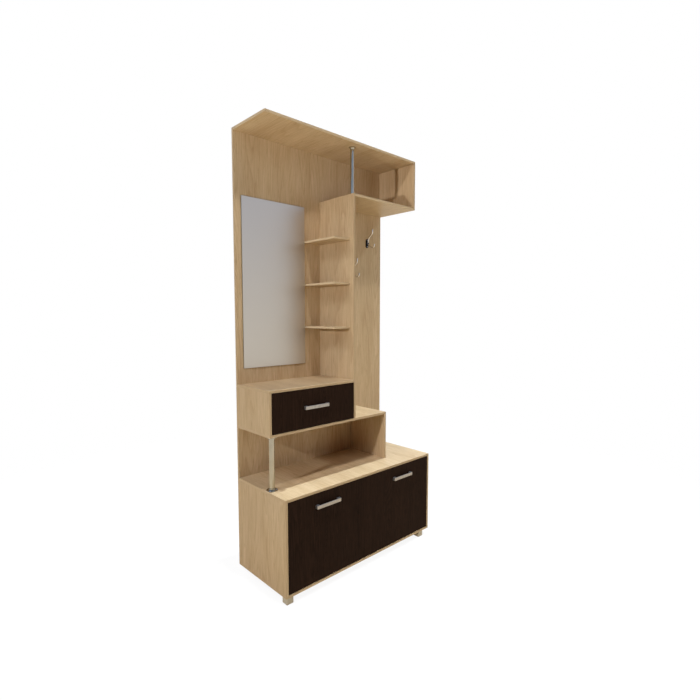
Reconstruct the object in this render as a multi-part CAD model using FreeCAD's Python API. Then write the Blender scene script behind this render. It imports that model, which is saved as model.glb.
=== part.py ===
"""Hall tree: shoe base with a tip-out flap, niche, drawer, mirror, display shelves, hat box and coat hooks.

Millimetres. +X runs to the viewer's right, +Y to the wall, +Z up, and the front faces -Y.
The origin is on the floor under the middle of the hall tree's box.
"""
import FreeCAD, Part
import math
import os

# Boards: one laminated board makes the carcass, and every outer edge is slightly eased
BOARD = 12.0
DISPLAY_BOARD = 10.0
EDGE_EASE = 0.6

# Carcass, seen from the front: heights are clear openings between boards
WIDTH = 1000.0
CARCASS_HEIGHT = 2100.0
BASE_HEIGHT = 441.0
NICHE_CLEAR = 248.0
DRAWER_CLEAR = 188.0
HAT_CLEAR = 245.0
NICHE_WIDTH = 760.0
CASE_WIDTH = 528.0

# Depths, measured from the wall face of the back board
BASE_DEPTH = 400.0
CASE_DEPTH = 285.0
TOP_DEPTH = 280.0

# Mirror, bonded to the back board over the drawer case
MIRROR_WIDTH = 373.0
MIRROR_HEIGHT = 822.0
MIRROR_GLASS = 4.0
MIRROR_INSET = 35.0
MIRROR_RISE = 75.0
TAPE_WIDTH = 20.0
TAPE_THICKNESS = 1.5
TAPE_MARGIN = 40.0
TAPE_COUNT = 3

# Display shelves, between the mirror and the tall divider
DISPLAY_COUNT = 3
DISPLAY_WIDTH = 105.0
DISPLAY_DEPTH = 241.0
DISPLAY_FIRST_RISE = 264.0
DISPLAY_PITCH = 224.0

# Posts of chromed tube with a flange at each end
LOWER_POST_DIAMETER = 25.0
LOWER_POST_INSET = 28.0
LOWER_FLANGE_DIAMETER = 52.0
LOWER_FLANGE_PLATE = 3.0
LOWER_FLANGE_COLLAR = 11.0
LOWER_FLANGE_SCREWS = 3
UPPER_POST_DIAMETER = 19.0
UPPER_POST_INSET = 31.5
UPPER_POST_SETBACK = 56.0
UPPER_FLANGE_DIAMETER = 36.0
UPPER_FLANGE_HEIGHT = 14.0
UPPER_FLANGE_RIM = 2.0
TUBE_WALL = 1.0
COLLAR_WALL = 2.5
SOCKET_FLOOR = 2.0
SOCKET_CLEARANCE = 0.1

# Double coat hooks on the back board under the hat box
HOOK_INSET = 118.0
HOOK_DROP = 170.0
HOOK_STEP_ACROSS = 125.0
HOOK_STEP_DOWN = 179.0
HOOK_PLATE_WIDTH = 20.0
HOOK_PLATE_HEIGHT = 52.0
HOOK_PLATE_THICKNESS = 4.0
HOOK_SCREW_SPACING = 36.0
HOOK_BOSS_DIAMETER = 19.0
HOOK_BOSS_THICKNESS = 5.0
HOOK_SPIGOT_DIAMETER = 8.0
HOOK_ROD_DIAMETER = 7.0
HOOK_BALL_DIAMETER = 8.0
HOOK_UPPER_REACH = 42.0
HOOK_UPPER_START = 4.0
HOOK_UPPER_STEEP = 82.0
HOOK_UPPER_SHANK = 13.0
HOOK_UPPER_SLOPE = 40.0
HOOK_UPPER_ROOT_BEND = 8.0
HOOK_UPPER_BEND = 14.0
HOOK_UPPER_TIP = 14.0
HOOK_LOWER_REACH = 57.0
HOOK_LOWER_START = -3.0
HOOK_LOWER_SLOPE = -33.0
HOOK_LOWER_BEND = 14.0
HOOK_LOWER_TIP = 4.0

# Square feet under the base: the front pair stands at the edge, the rear pair is set in
FOOT_SIDE = 35.0
FOOT_HEIGHT = 30.0
FOOT_EASE = 1.5
FOOT_FRONT_SETBACK = 2.0
FOOT_REAR_SETBACK = 40.0
FOOT_LEFT_INSET = 4.0
FOOT_INSET = 48.0
FOOT_SCREW_DIAMETER = 4.0
FOOT_SCREW_HEAD_DIAMETER = 8.0
FOOT_SCREW_HEAD = 2.5
FOOT_SCREW_RECESS = 12.0

# Wall brackets on top of the top board
BRACKET_WIDTH = 24.0
BRACKET_LEG = 34.0
BRACKET_SHEET = 2.0
BRACKET_INSET = 150.0
BRACKET_HOLE_DIAMETER = 6.0
BRACKET_HOLE_RISE = 20.0
BRACKET_SCREW_PITCH = 14.0

# Dowels, and the screws through the back board
DOWEL_DIAMETER = 6.0
DOWEL_SKIN = 4.0
DOWEL_END_DEPTH = 14.0
DOWEL_CLEARANCE = 0.1
DOWEL_END_CLEARANCE = 0.4
DOWEL_MARGIN = 40.0
DOWEL_STAGGER = 40.0
BACK_SCREW_DIAMETER = 4.0
BACK_SCREW_HEAD_DIAMETER = 8.0
BACK_SCREW_HEAD = 2.4
BACK_SCREW_BITE = 28.0
BACK_SCREW_MARGIN = 60.0
SCREW_CLEARANCE = 0.1
SCREW_END_CLEARANCE = 0.5

# Small pan-head screws that hold fittings
FITTING_SCREW_DIAMETER = 3.5
FITTING_SCREW_HEAD_DIAMETER = 7.0
FITTING_SCREW_HEAD = 2.2
FITTING_SCREW_BITE = 8.0

# Bow handles, each a bent flat bar held by two screws
HANDLE_CENTRES = 128.0
HANDLE_PROJECTION = 16.0
HANDLE_BAR = 4.0
HANDLE_HEIGHT = 16.0
HANDLE_LEG = 16.0
HANDLE_BEND = 4.0
HANDLE_EASE = 1.0
HANDLE_SCREW_DIAMETER = 4.0
HANDLE_SCREW_HEAD_DIAMETER = 8.0
HANDLE_SCREW_HEAD = 2.5
HANDLE_SCREW_BITE = 8.0
DRAWER_HANDLE_RISE = 6.0
FLAP_HANDLE_INSET = 237.0
FLAP_HANDLE_DROP = 60.0

# Drawer box
FRONT_GAP = 2.0
DRAWER_SIDE_GAP = 13.0
DRAWER_SIDE_HEIGHT = 120.0
DRAWER_LENGTH = 245.0
DRAWER_FLOOR = 4.0
DRAWER_FLOOR_RISE = 10.0
DRAWER_FLOOR_GROOVE = 6.0
GROOVE_CLEARANCE = 0.1
DRAWER_DOWEL_LOW = 35.0
DRAWER_DOWEL_HIGH = 95.0

# Roller runners of folded sheet: heights are measured from the underside of the case channel
RUNNER_LENGTH = 250.0
RUNNER_SHEET = 1.2
RUNNER_HEIGHT = 36.0
RUNNER_FLANGE = 9.8
RUNNER_RISE = 12.0
RUNNER_SETBACK = 3.0
RUNNER_MOUTH = 45.0
RUNNER_SCREW_MARGIN = 40.0
RUNNER_SCREW_HEIGHT = 28.5
RIDER_RISE = 2.0
RIDER_HEIGHT = 20.2
RIDER_REACH = 7.8
RIDER_SEAT = 10.0
ROLLER_RADIUS = 7.5
ROLLER_WIDTH = 6.0
ROLLER_INSET = 12.0
ROLLER_GAP = 0.3
ROLLER_SIDE_PLAY = 0.2
ROLLER_EASE = 0.5
AXLE_DIAMETER = 5.0
AXLE_HEAD_DIAMETER = 7.0
AXLE_HEAD = 0.8
RUNNING_CLEARANCE = 0.05
CASE_ROLLER_OFFSET = 1.8

# Tip-out flap: it turns on two pins in its lower edge
FLAP_LOWER_GAP = 3.0
PIVOT_PIN_DIAMETER = 5.0
PIVOT_PIN_DEPTH = 25.0
BUSH_WALL = 1.0
BUSH_DEPTH = 8.0
BUSH_FLANGE_DIAMETER = 10.0
BUSH_FLANGE = 1.2
CHEEK_SHEET = 2.0
CHEEK_GAP = 8.0
CHEEK_FLANGE = 20.0
CHEEK_CLEARANCE = 17.0
CHEEK_LOW_EDGE = 12.0
CHEEK_HEEL_ANGLE = 10.0
CHEEK_HEEL_MARGIN = 6.0
CHEEK_FLANGE_MARGIN = 30.0
CHEEK_SCREW_COUNT = 3
STOP_PIN_DIAMETER = 6.0
STOP_PIN_DEPTH = 8.0
STOP_PIN_OVERHANG = 4.0
STOP_RADIUS = 180.0
STOP_ANGLE = 72.0
STOP_CLEARANCE = 0.5
FLAP_TRAVEL = 50.0
TRAY_FIRST_RISE = 20.0
TRAY_PITCH = 180.0
TRAY_EDGE_MARGIN = 8.0
TRAY_GAP = 0.5
TRAY_SCREW_MARGIN = 40.0

# Directions, and the angle above the horizon that points straight up
RIGHTWARD = FreeCAD.Vector(1, 0, 0)
REARWARD = FreeCAD.Vector(0, 1, 0)
UPWARD = FreeCAD.Vector(0, 0, 1)
UPRIGHT = 90.0

# Main planes across the width
LEFT = -WIDTH / 2
RIGHT = WIDTH / 2
NICHE_RIGHT = LEFT + NICHE_WIDTH
CASE_RIGHT = LEFT + CASE_WIDTH
DIVIDER_LEFT = CASE_RIGHT - BOARD

# Main planes in depth
REAR = (BASE_DEPTH + HANDLE_PROJECTION) / 2
BACK_FACE = REAR - BOARD
BASE_FRONT = REAR - BASE_DEPTH
CASE_FRONT = REAR - CASE_DEPTH
TOP_FRONT = REAR - TOP_DEPTH

# Main heights above the floor
BASE_UNDER = FOOT_HEIGHT
BASE_FLOOR = BASE_UNDER + BOARD
BASE_TOP = BASE_UNDER + BASE_HEIGHT
BASE_CEILING = BASE_TOP - BOARD
NICHE_CEILING = BASE_TOP + NICHE_CLEAR
CASE_FLOOR = NICHE_CEILING + BOARD
CASE_CEILING = CASE_FLOOR + DRAWER_CLEAR
CASE_TOP = CASE_CEILING + BOARD
CARCASS_TOP = BASE_UNDER + CARCASS_HEIGHT
HAT_CEILING = CARCASS_TOP - BOARD
HAT_FLOOR = HAT_CEILING - HAT_CLEAR
HAT_UNDER = HAT_FLOOR - BOARD


class HallTree:
    """The solids of each node, and the holes still to be cut in them."""

    def __init__(self):
        self.solids = {}
        self.holes = {}

    def add(self, node, *solids):
        """Put solids in a node."""
        self.solids.setdefault(node, []).extend(solids)

    def cut(self, node, *tools):
        """Note holes to cut in a node."""
        self.holes.setdefault(node, []).extend(tools)

    def write(self):
        """Cut every hole and write each node to its own file."""
        os.makedirs("parts", exist_ok=True)
        for node, solids in self.solids.items():
            tools = self.holes.get(node, [])
            if tools:
                solids = [piece for solid in solids for piece in solid.cut(tools).Solids]
            shape = solids[0] if len(solids) == 1 else Part.makeCompound(solids)
            shape.exportStep(f"parts/{node}.step")


def block(x, y, z):
    """Box between two values on each axis, given in either order."""
    low = FreeCAD.Vector(min(x), min(y), min(z))
    high = FreeCAD.Vector(max(x), max(y), max(z))
    size = high - low
    return Part.makeBox(size.x, size.y, size.z, low)


def board(x, y, z, ease=EDGE_EASE):
    """Box with every edge eased."""
    solid = block(x, y, z)
    return solid.makeFillet(ease, solid.Edges)


def rod(start, direction, diameter, length):
    """Cylinder from a point along a direction."""
    return Part.makeCylinder(diameter / 2, length, start, direction)


def spread(low, high, margin, count):
    """Evenly spaced values between two ends, the first and last a margin inside them."""
    if count == 1:
        return [(low + high) / 2]
    step = (high - low - 2 * margin) / (count - 1)
    return [low + margin + step * index for index in range(count)]


def dowel(tree, node, face_board, end_board, point, direction):
    """Peg across a joint: into the face of one board, and on along direction into the end of the other."""
    face_depth = BOARD - DOWEL_SKIN
    start = point - direction * face_depth
    length = face_depth + DOWEL_END_DEPTH
    hole_start = start - direction * DOWEL_END_CLEARANCE
    hole_diameter = DOWEL_DIAMETER + 2 * DOWEL_CLEARANCE
    hole = rod(hole_start, direction, hole_diameter, length + 2 * DOWEL_END_CLEARANCE)
    tree.add(node, rod(start, direction, DOWEL_DIAMETER, length))
    tree.cut(face_board, hole)
    tree.cut(end_board, hole)


def dowel_row(tree, face_board, end_board, points, direction, node="carcass_dowels"):
    """Dowels at several points of one joint."""
    for point in points:
        dowel(tree, node, face_board, end_board, point, direction)


def back_screw(tree, end_board, x, z):
    """Countersunk screw through the back board into the rear edge of another board."""
    length = BOARD + BACK_SCREW_BITE
    start = FreeCAD.Vector(x, REAR, z)
    radius = BACK_SCREW_DIAMETER / 2
    head_radius = BACK_SCREW_HEAD_DIAMETER / 2
    head = Part.makeCone(head_radius, radius, BACK_SCREW_HEAD, start, -REARWARD)
    shank = rod(start, -REARWARD, BACK_SCREW_DIAMETER, length)
    tree.add("back_board_screws", shank.fuse(head).removeSplitter())
    hole_diameter = BACK_SCREW_DIAMETER + 2 * SCREW_CLEARANCE
    sink = Part.makeCone(head_radius + SCREW_CLEARANCE, radius + SCREW_CLEARANCE, BACK_SCREW_HEAD, start,
                         -REARWARD)
    hole = rod(start, -REARWARD, hole_diameter, length + SCREW_END_CLEARANCE)
    tree.cut("back_board", hole, sink)
    tree.cut(end_board, hole)


def pan_screw(start, direction, diameter, head_diameter, head, length):
    """Pan-head screw whose head seats at start, with its shank along direction."""
    top = rod(start - direction * head, direction, head_diameter, head)
    return rod(start, direction, diameter, length).fuse(top).removeSplitter()


def fitting_screw(tree, node, fitting, wood, start, direction, grip):
    """Pan-head screw through a fitting of thickness grip into a board behind it."""
    length = grip + FITTING_SCREW_BITE
    tree.add(node, pan_screw(start, direction, FITTING_SCREW_DIAMETER, FITTING_SCREW_HEAD_DIAMETER,
                             FITTING_SCREW_HEAD, length))
    hole = rod(start, direction, FITTING_SCREW_DIAMETER + 2 * SCREW_CLEARANCE, length + SCREW_END_CLEARANCE)
    tree.cut(fitting, hole)
    tree.cut(wood, hole)


def at_points(values, make):
    """Points made from a list of values."""
    return [FreeCAD.Vector(*make(value)) for value in values]


# Shoe base: bottom and top boards run the full width, and the sides stand between them
def build_base(tree):
    depth = (BASE_FRONT, BACK_FACE)
    tree.add("base_bottom", board((LEFT, RIGHT), depth, (BASE_UNDER, BASE_FLOOR)))
    tree.add("base_top", board((LEFT, RIGHT), depth, (BASE_CEILING, BASE_TOP)))
    rows = spread(BASE_FRONT, BACK_FACE, DOWEL_MARGIN, 3)
    for side, outer, inner in (("left", LEFT, LEFT + BOARD), ("right", RIGHT, RIGHT - BOARD)):
        node = f"base_{side}_side"
        tree.add(node, board((outer, inner), depth, (BASE_FLOOR, BASE_CEILING)))
        middle = (outer + inner) / 2
        dowel_row(tree, "base_bottom", node, at_points(rows, lambda y: (middle, y, BASE_FLOOR)), UPWARD)
        dowel_row(tree, "base_top", node, at_points(rows, lambda y: (middle, y, BASE_CEILING)), -UPWARD)
        for z in spread(BASE_FLOOR, BASE_CEILING, BACK_SCREW_MARGIN, 3):
            back_screw(tree, node, middle, z)
    for x in spread(LEFT, RIGHT, BACK_SCREW_MARGIN, 4):
        back_screw(tree, "base_bottom", x, BASE_FLOOR - BOARD / 2)
        back_screw(tree, "base_top", x, BASE_TOP - BOARD / 2)


# Feet, each screwed up into the bottom board from a recess in its sole
def build_feet(tree):
    front = BASE_FRONT + FOOT_FRONT_SETBACK
    rear = REAR - FOOT_REAR_SETBACK - FOOT_SIDE
    corners = ((LEFT + FOOT_LEFT_INSET, front), (RIGHT - FOOT_INSET - FOOT_SIDE, front),
               (LEFT + FOOT_INSET, rear), (RIGHT - FOOT_INSET - FOOT_SIDE, rear))
    recess_diameter = FOOT_SCREW_HEAD_DIAMETER + 2 * SCREW_CLEARANCE
    length = FOOT_HEIGHT - FOOT_SCREW_RECESS + FITTING_SCREW_BITE
    for x, y in corners:
        foot = board((x, x + FOOT_SIDE), (y, y + FOOT_SIDE), (0, FOOT_HEIGHT), FOOT_EASE)
        sole = FreeCAD.Vector(x + FOOT_SIDE / 2, y + FOOT_SIDE / 2, 0)
        seat = sole + UPWARD * FOOT_SCREW_RECESS
        hole = rod(seat, UPWARD, FOOT_SCREW_DIAMETER + 2 * SCREW_CLEARANCE, length + SCREW_END_CLEARANCE)
        tree.add("feet", foot)
        tree.cut("feet", rod(sole, UPWARD, recess_diameter, FOOT_SCREW_RECESS), hole)
        tree.cut("base_bottom", hole)
        tree.add("foot_screws", pan_screw(seat, UPWARD, FOOT_SCREW_DIAMETER, FOOT_SCREW_HEAD_DIAMETER,
                                          FOOT_SCREW_HEAD, length))


# Back board behind everything, and the top board that lies on it
def build_back_and_top(tree):
    tree.add("back_board", board((LEFT, RIGHT), (BACK_FACE, REAR), (BASE_UNDER, HAT_CEILING)))
    tree.add("top_board", board((LEFT, RIGHT), (TOP_FRONT, REAR), (HAT_CEILING, CARCASS_TOP)))
    middle = (BACK_FACE + REAR) / 2
    columns = spread(LEFT, RIGHT, DOWEL_MARGIN, 6)
    dowel_row(tree, "top_board", "back_board",
              at_points(columns, lambda x: (x, middle, HAT_CEILING)), -UPWARD)


# Niche over the base: open at the left, where a post carries the corner
def build_niche(tree):
    depth = (CASE_FRONT, BACK_FACE)
    tree.add("niche_top_board", board((LEFT, NICHE_RIGHT), depth, (NICHE_CEILING, CASE_FLOOR)))
    across = (NICHE_RIGHT - BOARD, NICHE_RIGHT)
    tree.add("niche_right_panel", board(across, depth, (BASE_TOP, NICHE_CEILING)))
    middle = NICHE_RIGHT - BOARD / 2
    rows = spread(CASE_FRONT, BACK_FACE, DOWEL_MARGIN, 2)
    dowel_row(tree, "base_top", "niche_right_panel",
              at_points(rows, lambda y: (middle, y, BASE_TOP)), UPWARD)
    dowel_row(tree, "niche_top_board", "niche_right_panel",
              at_points(rows, lambda y: (middle, y, NICHE_CEILING)), -UPWARD)
    for z in spread(BASE_TOP, NICHE_CEILING, BACK_SCREW_MARGIN, 2):
        back_screw(tree, "niche_right_panel", middle, z)
    for x in spread(LEFT, NICHE_RIGHT, BACK_SCREW_MARGIN, 4):
        back_screw(tree, "niche_top_board", x, CASE_FLOOR - BOARD / 2)


# Drawer case on the left of the niche top
def build_drawer_case(tree):
    depth = (CASE_FRONT, BACK_FACE)
    tree.add("drawer_case_top", board((LEFT, CASE_RIGHT), depth, (CASE_CEILING, CASE_TOP)))
    rows = spread(CASE_FRONT, BACK_FACE, DOWEL_MARGIN, 2)
    for side, outer, inner in (("left", LEFT, LEFT + BOARD), ("right", CASE_RIGHT, CASE_RIGHT - BOARD)):
        node = f"drawer_case_{side}_side"
        tree.add(node, board((outer, inner), depth, (CASE_FLOOR, CASE_CEILING)))
        middle = (outer + inner) / 2
        dowel_row(tree, "niche_top_board", node, at_points(rows, lambda y: (middle, y, CASE_FLOOR)), UPWARD)
        dowel_row(tree, "drawer_case_top", node,
                  at_points(rows, lambda y: (middle, y, CASE_CEILING)), -UPWARD)
        for z in spread(CASE_FLOOR, CASE_CEILING, BACK_SCREW_MARGIN, 2):
            back_screw(tree, node, middle, z)
    for x in spread(LEFT, CASE_RIGHT, BACK_SCREW_MARGIN, 3):
        back_screw(tree, "drawer_case_top", x, CASE_TOP - BOARD / 2)


# Tall divider on the drawer case, and the hat box that it carries with its end panel
def build_divider_and_hat_box(tree):
    depth = (TOP_FRONT, BACK_FACE)
    tree.add("divider_panel", board((DIVIDER_LEFT, CASE_RIGHT), depth, (CASE_TOP, HAT_FLOOR)))
    tree.add("hat_shelf", board((CASE_RIGHT, RIGHT - BOARD), depth, (HAT_UNDER, HAT_FLOOR)))
    tree.add("hat_box_side", board((RIGHT - BOARD, RIGHT), depth, (HAT_UNDER, HAT_CEILING)))
    rows = spread(TOP_FRONT, BACK_FACE, DOWEL_MARGIN, 2)
    staggered = spread(TOP_FRONT, BACK_FACE, DOWEL_MARGIN + DOWEL_STAGGER, 2)
    shelf_middle = HAT_FLOOR - BOARD / 2
    divider_middle = CASE_RIGHT - BOARD / 2
    side_middle = RIGHT - BOARD / 2
    dowel_row(tree, "drawer_case_top", "divider_panel",
              at_points(staggered, lambda y: (divider_middle, y, CASE_TOP)), UPWARD)
    dowel_row(tree, "divider_panel", "hat_shelf",
              at_points(rows, lambda y: (CASE_RIGHT, y, shelf_middle)), RIGHTWARD)
    dowel_row(tree, "hat_box_side", "hat_shelf",
              at_points(rows, lambda y: (RIGHT - BOARD, y, shelf_middle)), -RIGHTWARD)
    dowel_row(tree, "top_board", "hat_box_side",
              at_points(rows, lambda y: (side_middle, y, HAT_CEILING)), -UPWARD)
    for z in spread(CASE_TOP, HAT_UNDER, BACK_SCREW_MARGIN, 4):
        back_screw(tree, "divider_panel", divider_middle, z)
    for x in spread(CASE_RIGHT, RIGHT, BACK_SCREW_MARGIN, 3):
        back_screw(tree, "hat_shelf", x, shelf_middle)
    for z in spread(HAT_FLOOR, HAT_CEILING, BACK_SCREW_MARGIN, 2):
        back_screw(tree, "hat_box_side", side_middle, z)


# Display shelves, pegged to the divider and screwed from behind
def build_display_shelves(tree):
    left = DIVIDER_LEFT - DISPLAY_WIDTH
    front = BACK_FACE - DISPLAY_DEPTH
    names = [f"display_shelf_{index + 1}" for index in range(DISPLAY_COUNT)]
    rows = spread(front, BACK_FACE, DOWEL_MARGIN, 2)
    for index, node in enumerate(names):
        under = CASE_TOP + DISPLAY_FIRST_RISE + DISPLAY_PITCH * index
        middle = under + DISPLAY_BOARD / 2
        tree.add(node, board((left, DIVIDER_LEFT), (front, BACK_FACE), (under, under + DISPLAY_BOARD)))
        dowel_row(tree, "divider_panel", node,
                  at_points(rows, lambda y: (DIVIDER_LEFT, y, middle)), -RIGHTWARD)
        back_screw(tree, node, left + DISPLAY_WIDTH / 2, middle)


# Mirror glass on strips of mounting tape
def build_mirror(tree):
    left = LEFT + MIRROR_INSET
    sill = CASE_TOP + MIRROR_RISE
    tape_face = BACK_FACE - TAPE_THICKNESS
    across = (left, left + MIRROR_WIDTH)
    glass = (tape_face - MIRROR_GLASS, tape_face)
    tree.add("mirror_glass", board(across, glass, (sill, sill + MIRROR_HEIGHT)))
    strip_height = (sill + TAPE_MARGIN, sill + MIRROR_HEIGHT - TAPE_MARGIN)
    for x in spread(*across, TAPE_MARGIN, TAPE_COUNT):
        strip = (x - TAPE_WIDTH / 2, x + TAPE_WIDTH / 2)
        tree.add("mirror_tape", block(strip, (tape_face, BACK_FACE), strip_height))


def round_edges(solid):
    """Circular edges of a solid."""
    return [edge for edge in solid.Edges if isinstance(edge.Curve, Part.Circle)]


def tube(start, direction, diameter, length):
    """Hollow tube with open ends."""
    inside = rod(start, direction, diameter - 2 * TUBE_WALL, length)
    return rod(start, direction, diameter, length).cut(inside)


def lower_flange(seat, direction):
    """Flat round flange with a collar that holds the tube's end."""
    bore_diameter = LOWER_POST_DIAMETER + 2 * SOCKET_CLEARANCE
    plate = rod(seat, direction, LOWER_FLANGE_DIAMETER, LOWER_FLANGE_PLATE)
    outer_rim = max(round_edges(plate), key=lambda edge: (edge.Curve.Center - seat).dot(direction))
    plate = plate.makeFillet(EDGE_EASE, [outer_rim])
    collar = rod(seat, direction, bore_diameter + 2 * COLLAR_WALL, LOWER_FLANGE_COLLAR)
    socket = rod(seat + direction * SOCKET_FLOOR, direction, bore_diameter, LOWER_FLANGE_COLLAR)
    return plate.fuse(collar).removeSplitter().cut(socket)


def upper_flange(seat, direction):
    """Trumpet-shaped flange: a thin rim that narrows in a hollow curve to the tube's socket."""
    bore_radius = UPPER_POST_DIAMETER / 2 + SOCKET_CLEARANCE
    neck = bore_radius + TUBE_WALL
    rim = UPPER_FLANGE_DIAMETER / 2
    hollow = math.sqrt(0.5)
    middle_radius = neck + (rim - neck) * (1 - hollow)
    middle_height = UPPER_FLANGE_RIM + (UPPER_FLANGE_HEIGHT - UPPER_FLANGE_RIM) * (1 - hollow)
    points = [FreeCAD.Vector(radius, 0, height) for radius, height in (
        (0, 0), (rim, 0), (rim, UPPER_FLANGE_RIM), (middle_radius, middle_height),
        (neck, UPPER_FLANGE_HEIGHT), (bore_radius, UPPER_FLANGE_HEIGHT), (bore_radius, SOCKET_FLOOR),
        (0, SOCKET_FLOOR))]
    edges = [Part.makeLine(points[0], points[1]), Part.makeLine(points[1], points[2]),
             Part.Arc(points[2], points[3], points[4]).toShape()]
    edges += [Part.makeLine(a, b) for a, b in zip(points[4:], points[5:] + points[:1])]
    solid = Part.Face(Part.Wire(edges)).revolve(FreeCAD.Vector(), UPWARD, 360)
    turn = FreeCAD.Rotation(UPWARD, direction)
    return solid.transformGeometry(FreeCAD.Placement(seat, turn).toMatrix())


# Lower post, from the base top to the left front corner of the niche top
def build_lower_post(tree):
    x = LEFT + LOWER_POST_INSET
    y = CASE_FRONT + LOWER_POST_INSET
    collar_radius = LOWER_POST_DIAMETER / 2 + SOCKET_CLEARANCE + COLLAR_WALL
    screw_circle = (collar_radius + LOWER_FLANGE_DIAMETER / 2) / 2
    ends = ((BASE_TOP, UPWARD, "base_top"), (NICHE_CEILING, -UPWARD, "niche_top_board"))
    for z, direction, wood in ends:
        seat = FreeCAD.Vector(x, y, z)
        tree.add("lower_post_flanges", lower_flange(seat, direction))
        for index in range(LOWER_FLANGE_SCREWS):
            angle = math.pi / 2 + 2 * math.pi * index / LOWER_FLANGE_SCREWS
            offset = FreeCAD.Vector(screw_circle * math.cos(angle), screw_circle * math.sin(angle), 0)
            fitting_screw(tree, "fitting_screws", "lower_post_flanges", wood,
                          seat + offset + direction * LOWER_FLANGE_PLATE, -direction, LOWER_FLANGE_PLATE)
    start = FreeCAD.Vector(x, y, BASE_TOP + SOCKET_FLOOR)
    tree.add("lower_post_tube", tube(start, UPWARD, LOWER_POST_DIAMETER, NICHE_CLEAR - 2 * SOCKET_FLOOR))


# Upper post, from the hat shelf to the top board
def build_upper_post(tree):
    x = CASE_RIGHT + UPPER_POST_INSET
    y = TOP_FRONT + UPPER_POST_SETBACK
    ends = ((HAT_FLOOR, UPWARD, "hat_shelf"), (HAT_CEILING, -UPWARD, "top_board"))
    for z, direction, wood in ends:
        seat = FreeCAD.Vector(x, y, z)
        tree.add("upper_post_flanges", upper_flange(seat, direction))
        fitting_screw(tree, "fitting_screws", "upper_post_flanges", wood,
                      seat + direction * SOCKET_FLOOR, -direction, SOCKET_FLOOR)
    start = FreeCAD.Vector(x, y, HAT_FLOOR + SOCKET_FLOOR)
    tree.add("upper_post_tube", tube(start, UPWARD, UPPER_POST_DIAMETER, HAT_CLEAR - 2 * SOCKET_FLOOR))


class RodPath:
    """Straight runs and tangent bends in an upright plane, as seen from the hook's side."""

    def __init__(self, origin, rise, angle):
        self.origin = origin
        self.out = 0.0
        self.up = rise
        self.angle = math.radians(angle)
        self.edges = []

    def point(self, out, up):
        return self.origin - REARWARD * out + UPWARD * up

    def run(self, length):
        """Go straight on."""
        start = self.point(self.out, self.up)
        self.out += length * math.cos(self.angle)
        self.up += length * math.sin(self.angle)
        self.edges.append(Part.makeLine(start, self.point(self.out, self.up)))

    def bend(self, radius, to_angle):
        """Turn to an angle, upwards or outwards."""
        target = math.radians(to_angle)
        start_angle = self.angle
        turn = math.copysign(radius, target - start_angle)
        stations = []
        for angle in (start_angle, (start_angle + target) / 2, target):
            out = self.out + turn * (math.sin(angle) - math.sin(start_angle))
            up = self.up + turn * (math.cos(start_angle) - math.cos(angle))
            stations.append((out, up))
        self.edges.append(Part.Arc(*[self.point(*station) for station in stations]).toShape())
        self.out, self.up = stations[-1]
        self.angle = target

    def rod(self, diameter, ball_diameter):
        """Round rod along the path, with a ball on its end."""
        first = self.edges[0]
        start = first.FirstParameter
        circle = Part.Circle(first.valueAt(start), first.tangentAt(start), diameter / 2)
        profile = Part.Wire([circle.toShape()])
        pipe = Part.Wire(self.edges).makePipeShell([profile], True, False)
        ball = Part.makeSphere(ball_diameter / 2, self.point(self.out, self.up))
        return pipe.fuse(ball)


def hook_prongs(root):
    """Swan-necked upper prong and hooked lower prong on one boss; root is on the front face of the plate."""
    slope = math.radians(HOOK_UPPER_SLOPE)
    upper = RodPath(root, HOOK_UPPER_START, 0)
    upper.bend(HOOK_UPPER_ROOT_BEND, HOOK_UPPER_STEEP)
    upper.run(HOOK_UPPER_SHANK)
    upper.bend(HOOK_UPPER_BEND, HOOK_UPPER_SLOPE)
    rest = HOOK_UPPER_REACH - upper.out - HOOK_UPPER_BEND * (1 - math.sin(slope))
    upper.run(rest / math.cos(slope))
    upper.bend(HOOK_UPPER_BEND, UPRIGHT)
    upper.run(HOOK_UPPER_TIP)
    fall = math.radians(HOOK_LOWER_SLOPE)
    lower = RodPath(root, HOOK_LOWER_START, HOOK_LOWER_SLOPE)
    lower.run((HOOK_LOWER_REACH - HOOK_LOWER_BEND * (1 - math.sin(fall))) / math.cos(fall))
    lower.bend(HOOK_LOWER_BEND, UPRIGHT)
    lower.run(HOOK_LOWER_TIP)
    boss = rod(root, -REARWARD, HOOK_BOSS_DIAMETER, HOOK_BOSS_THICKNESS)
    spigot = rod(root, REARWARD, HOOK_SPIGOT_DIAMETER, HOOK_PLATE_THICKNESS)
    prongs = [path.rod(HOOK_ROD_DIAMETER, HOOK_BALL_DIAMETER) for path in (upper, lower)]
    room = HOOK_BOSS_DIAMETER
    behind = block((root.x - room, root.x + room), (root.y, root.y + room), (root.z - room, root.z + room))
    trimmed = [prong.cut(behind) for prong in prongs]
    return boss.fuse(trimmed + [spigot]).removeSplitter()


def hook_plate(centre):
    """Upright plate with round ends; centre is on its rear face."""
    half = HOOK_PLATE_WIDTH / 2
    shank = (HOOK_PLATE_HEIGHT - HOOK_PLATE_WIDTH) / 2
    plate = block((centre.x - half, centre.x + half), (centre.y - HOOK_PLATE_THICKNESS, centre.y),
                  (centre.z - shank, centre.z + shank))
    for rise in (-shank, shank):
        plate = plate.fuse(rod(centre + UPWARD * rise, -REARWARD, HOOK_PLATE_WIDTH, HOOK_PLATE_THICKNESS))
    plate = plate.removeSplitter()
    front = min(plate.Faces, key=lambda face: face.CenterOfMass.y)
    return plate.makeFillet(EDGE_EASE, front.Edges)


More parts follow.
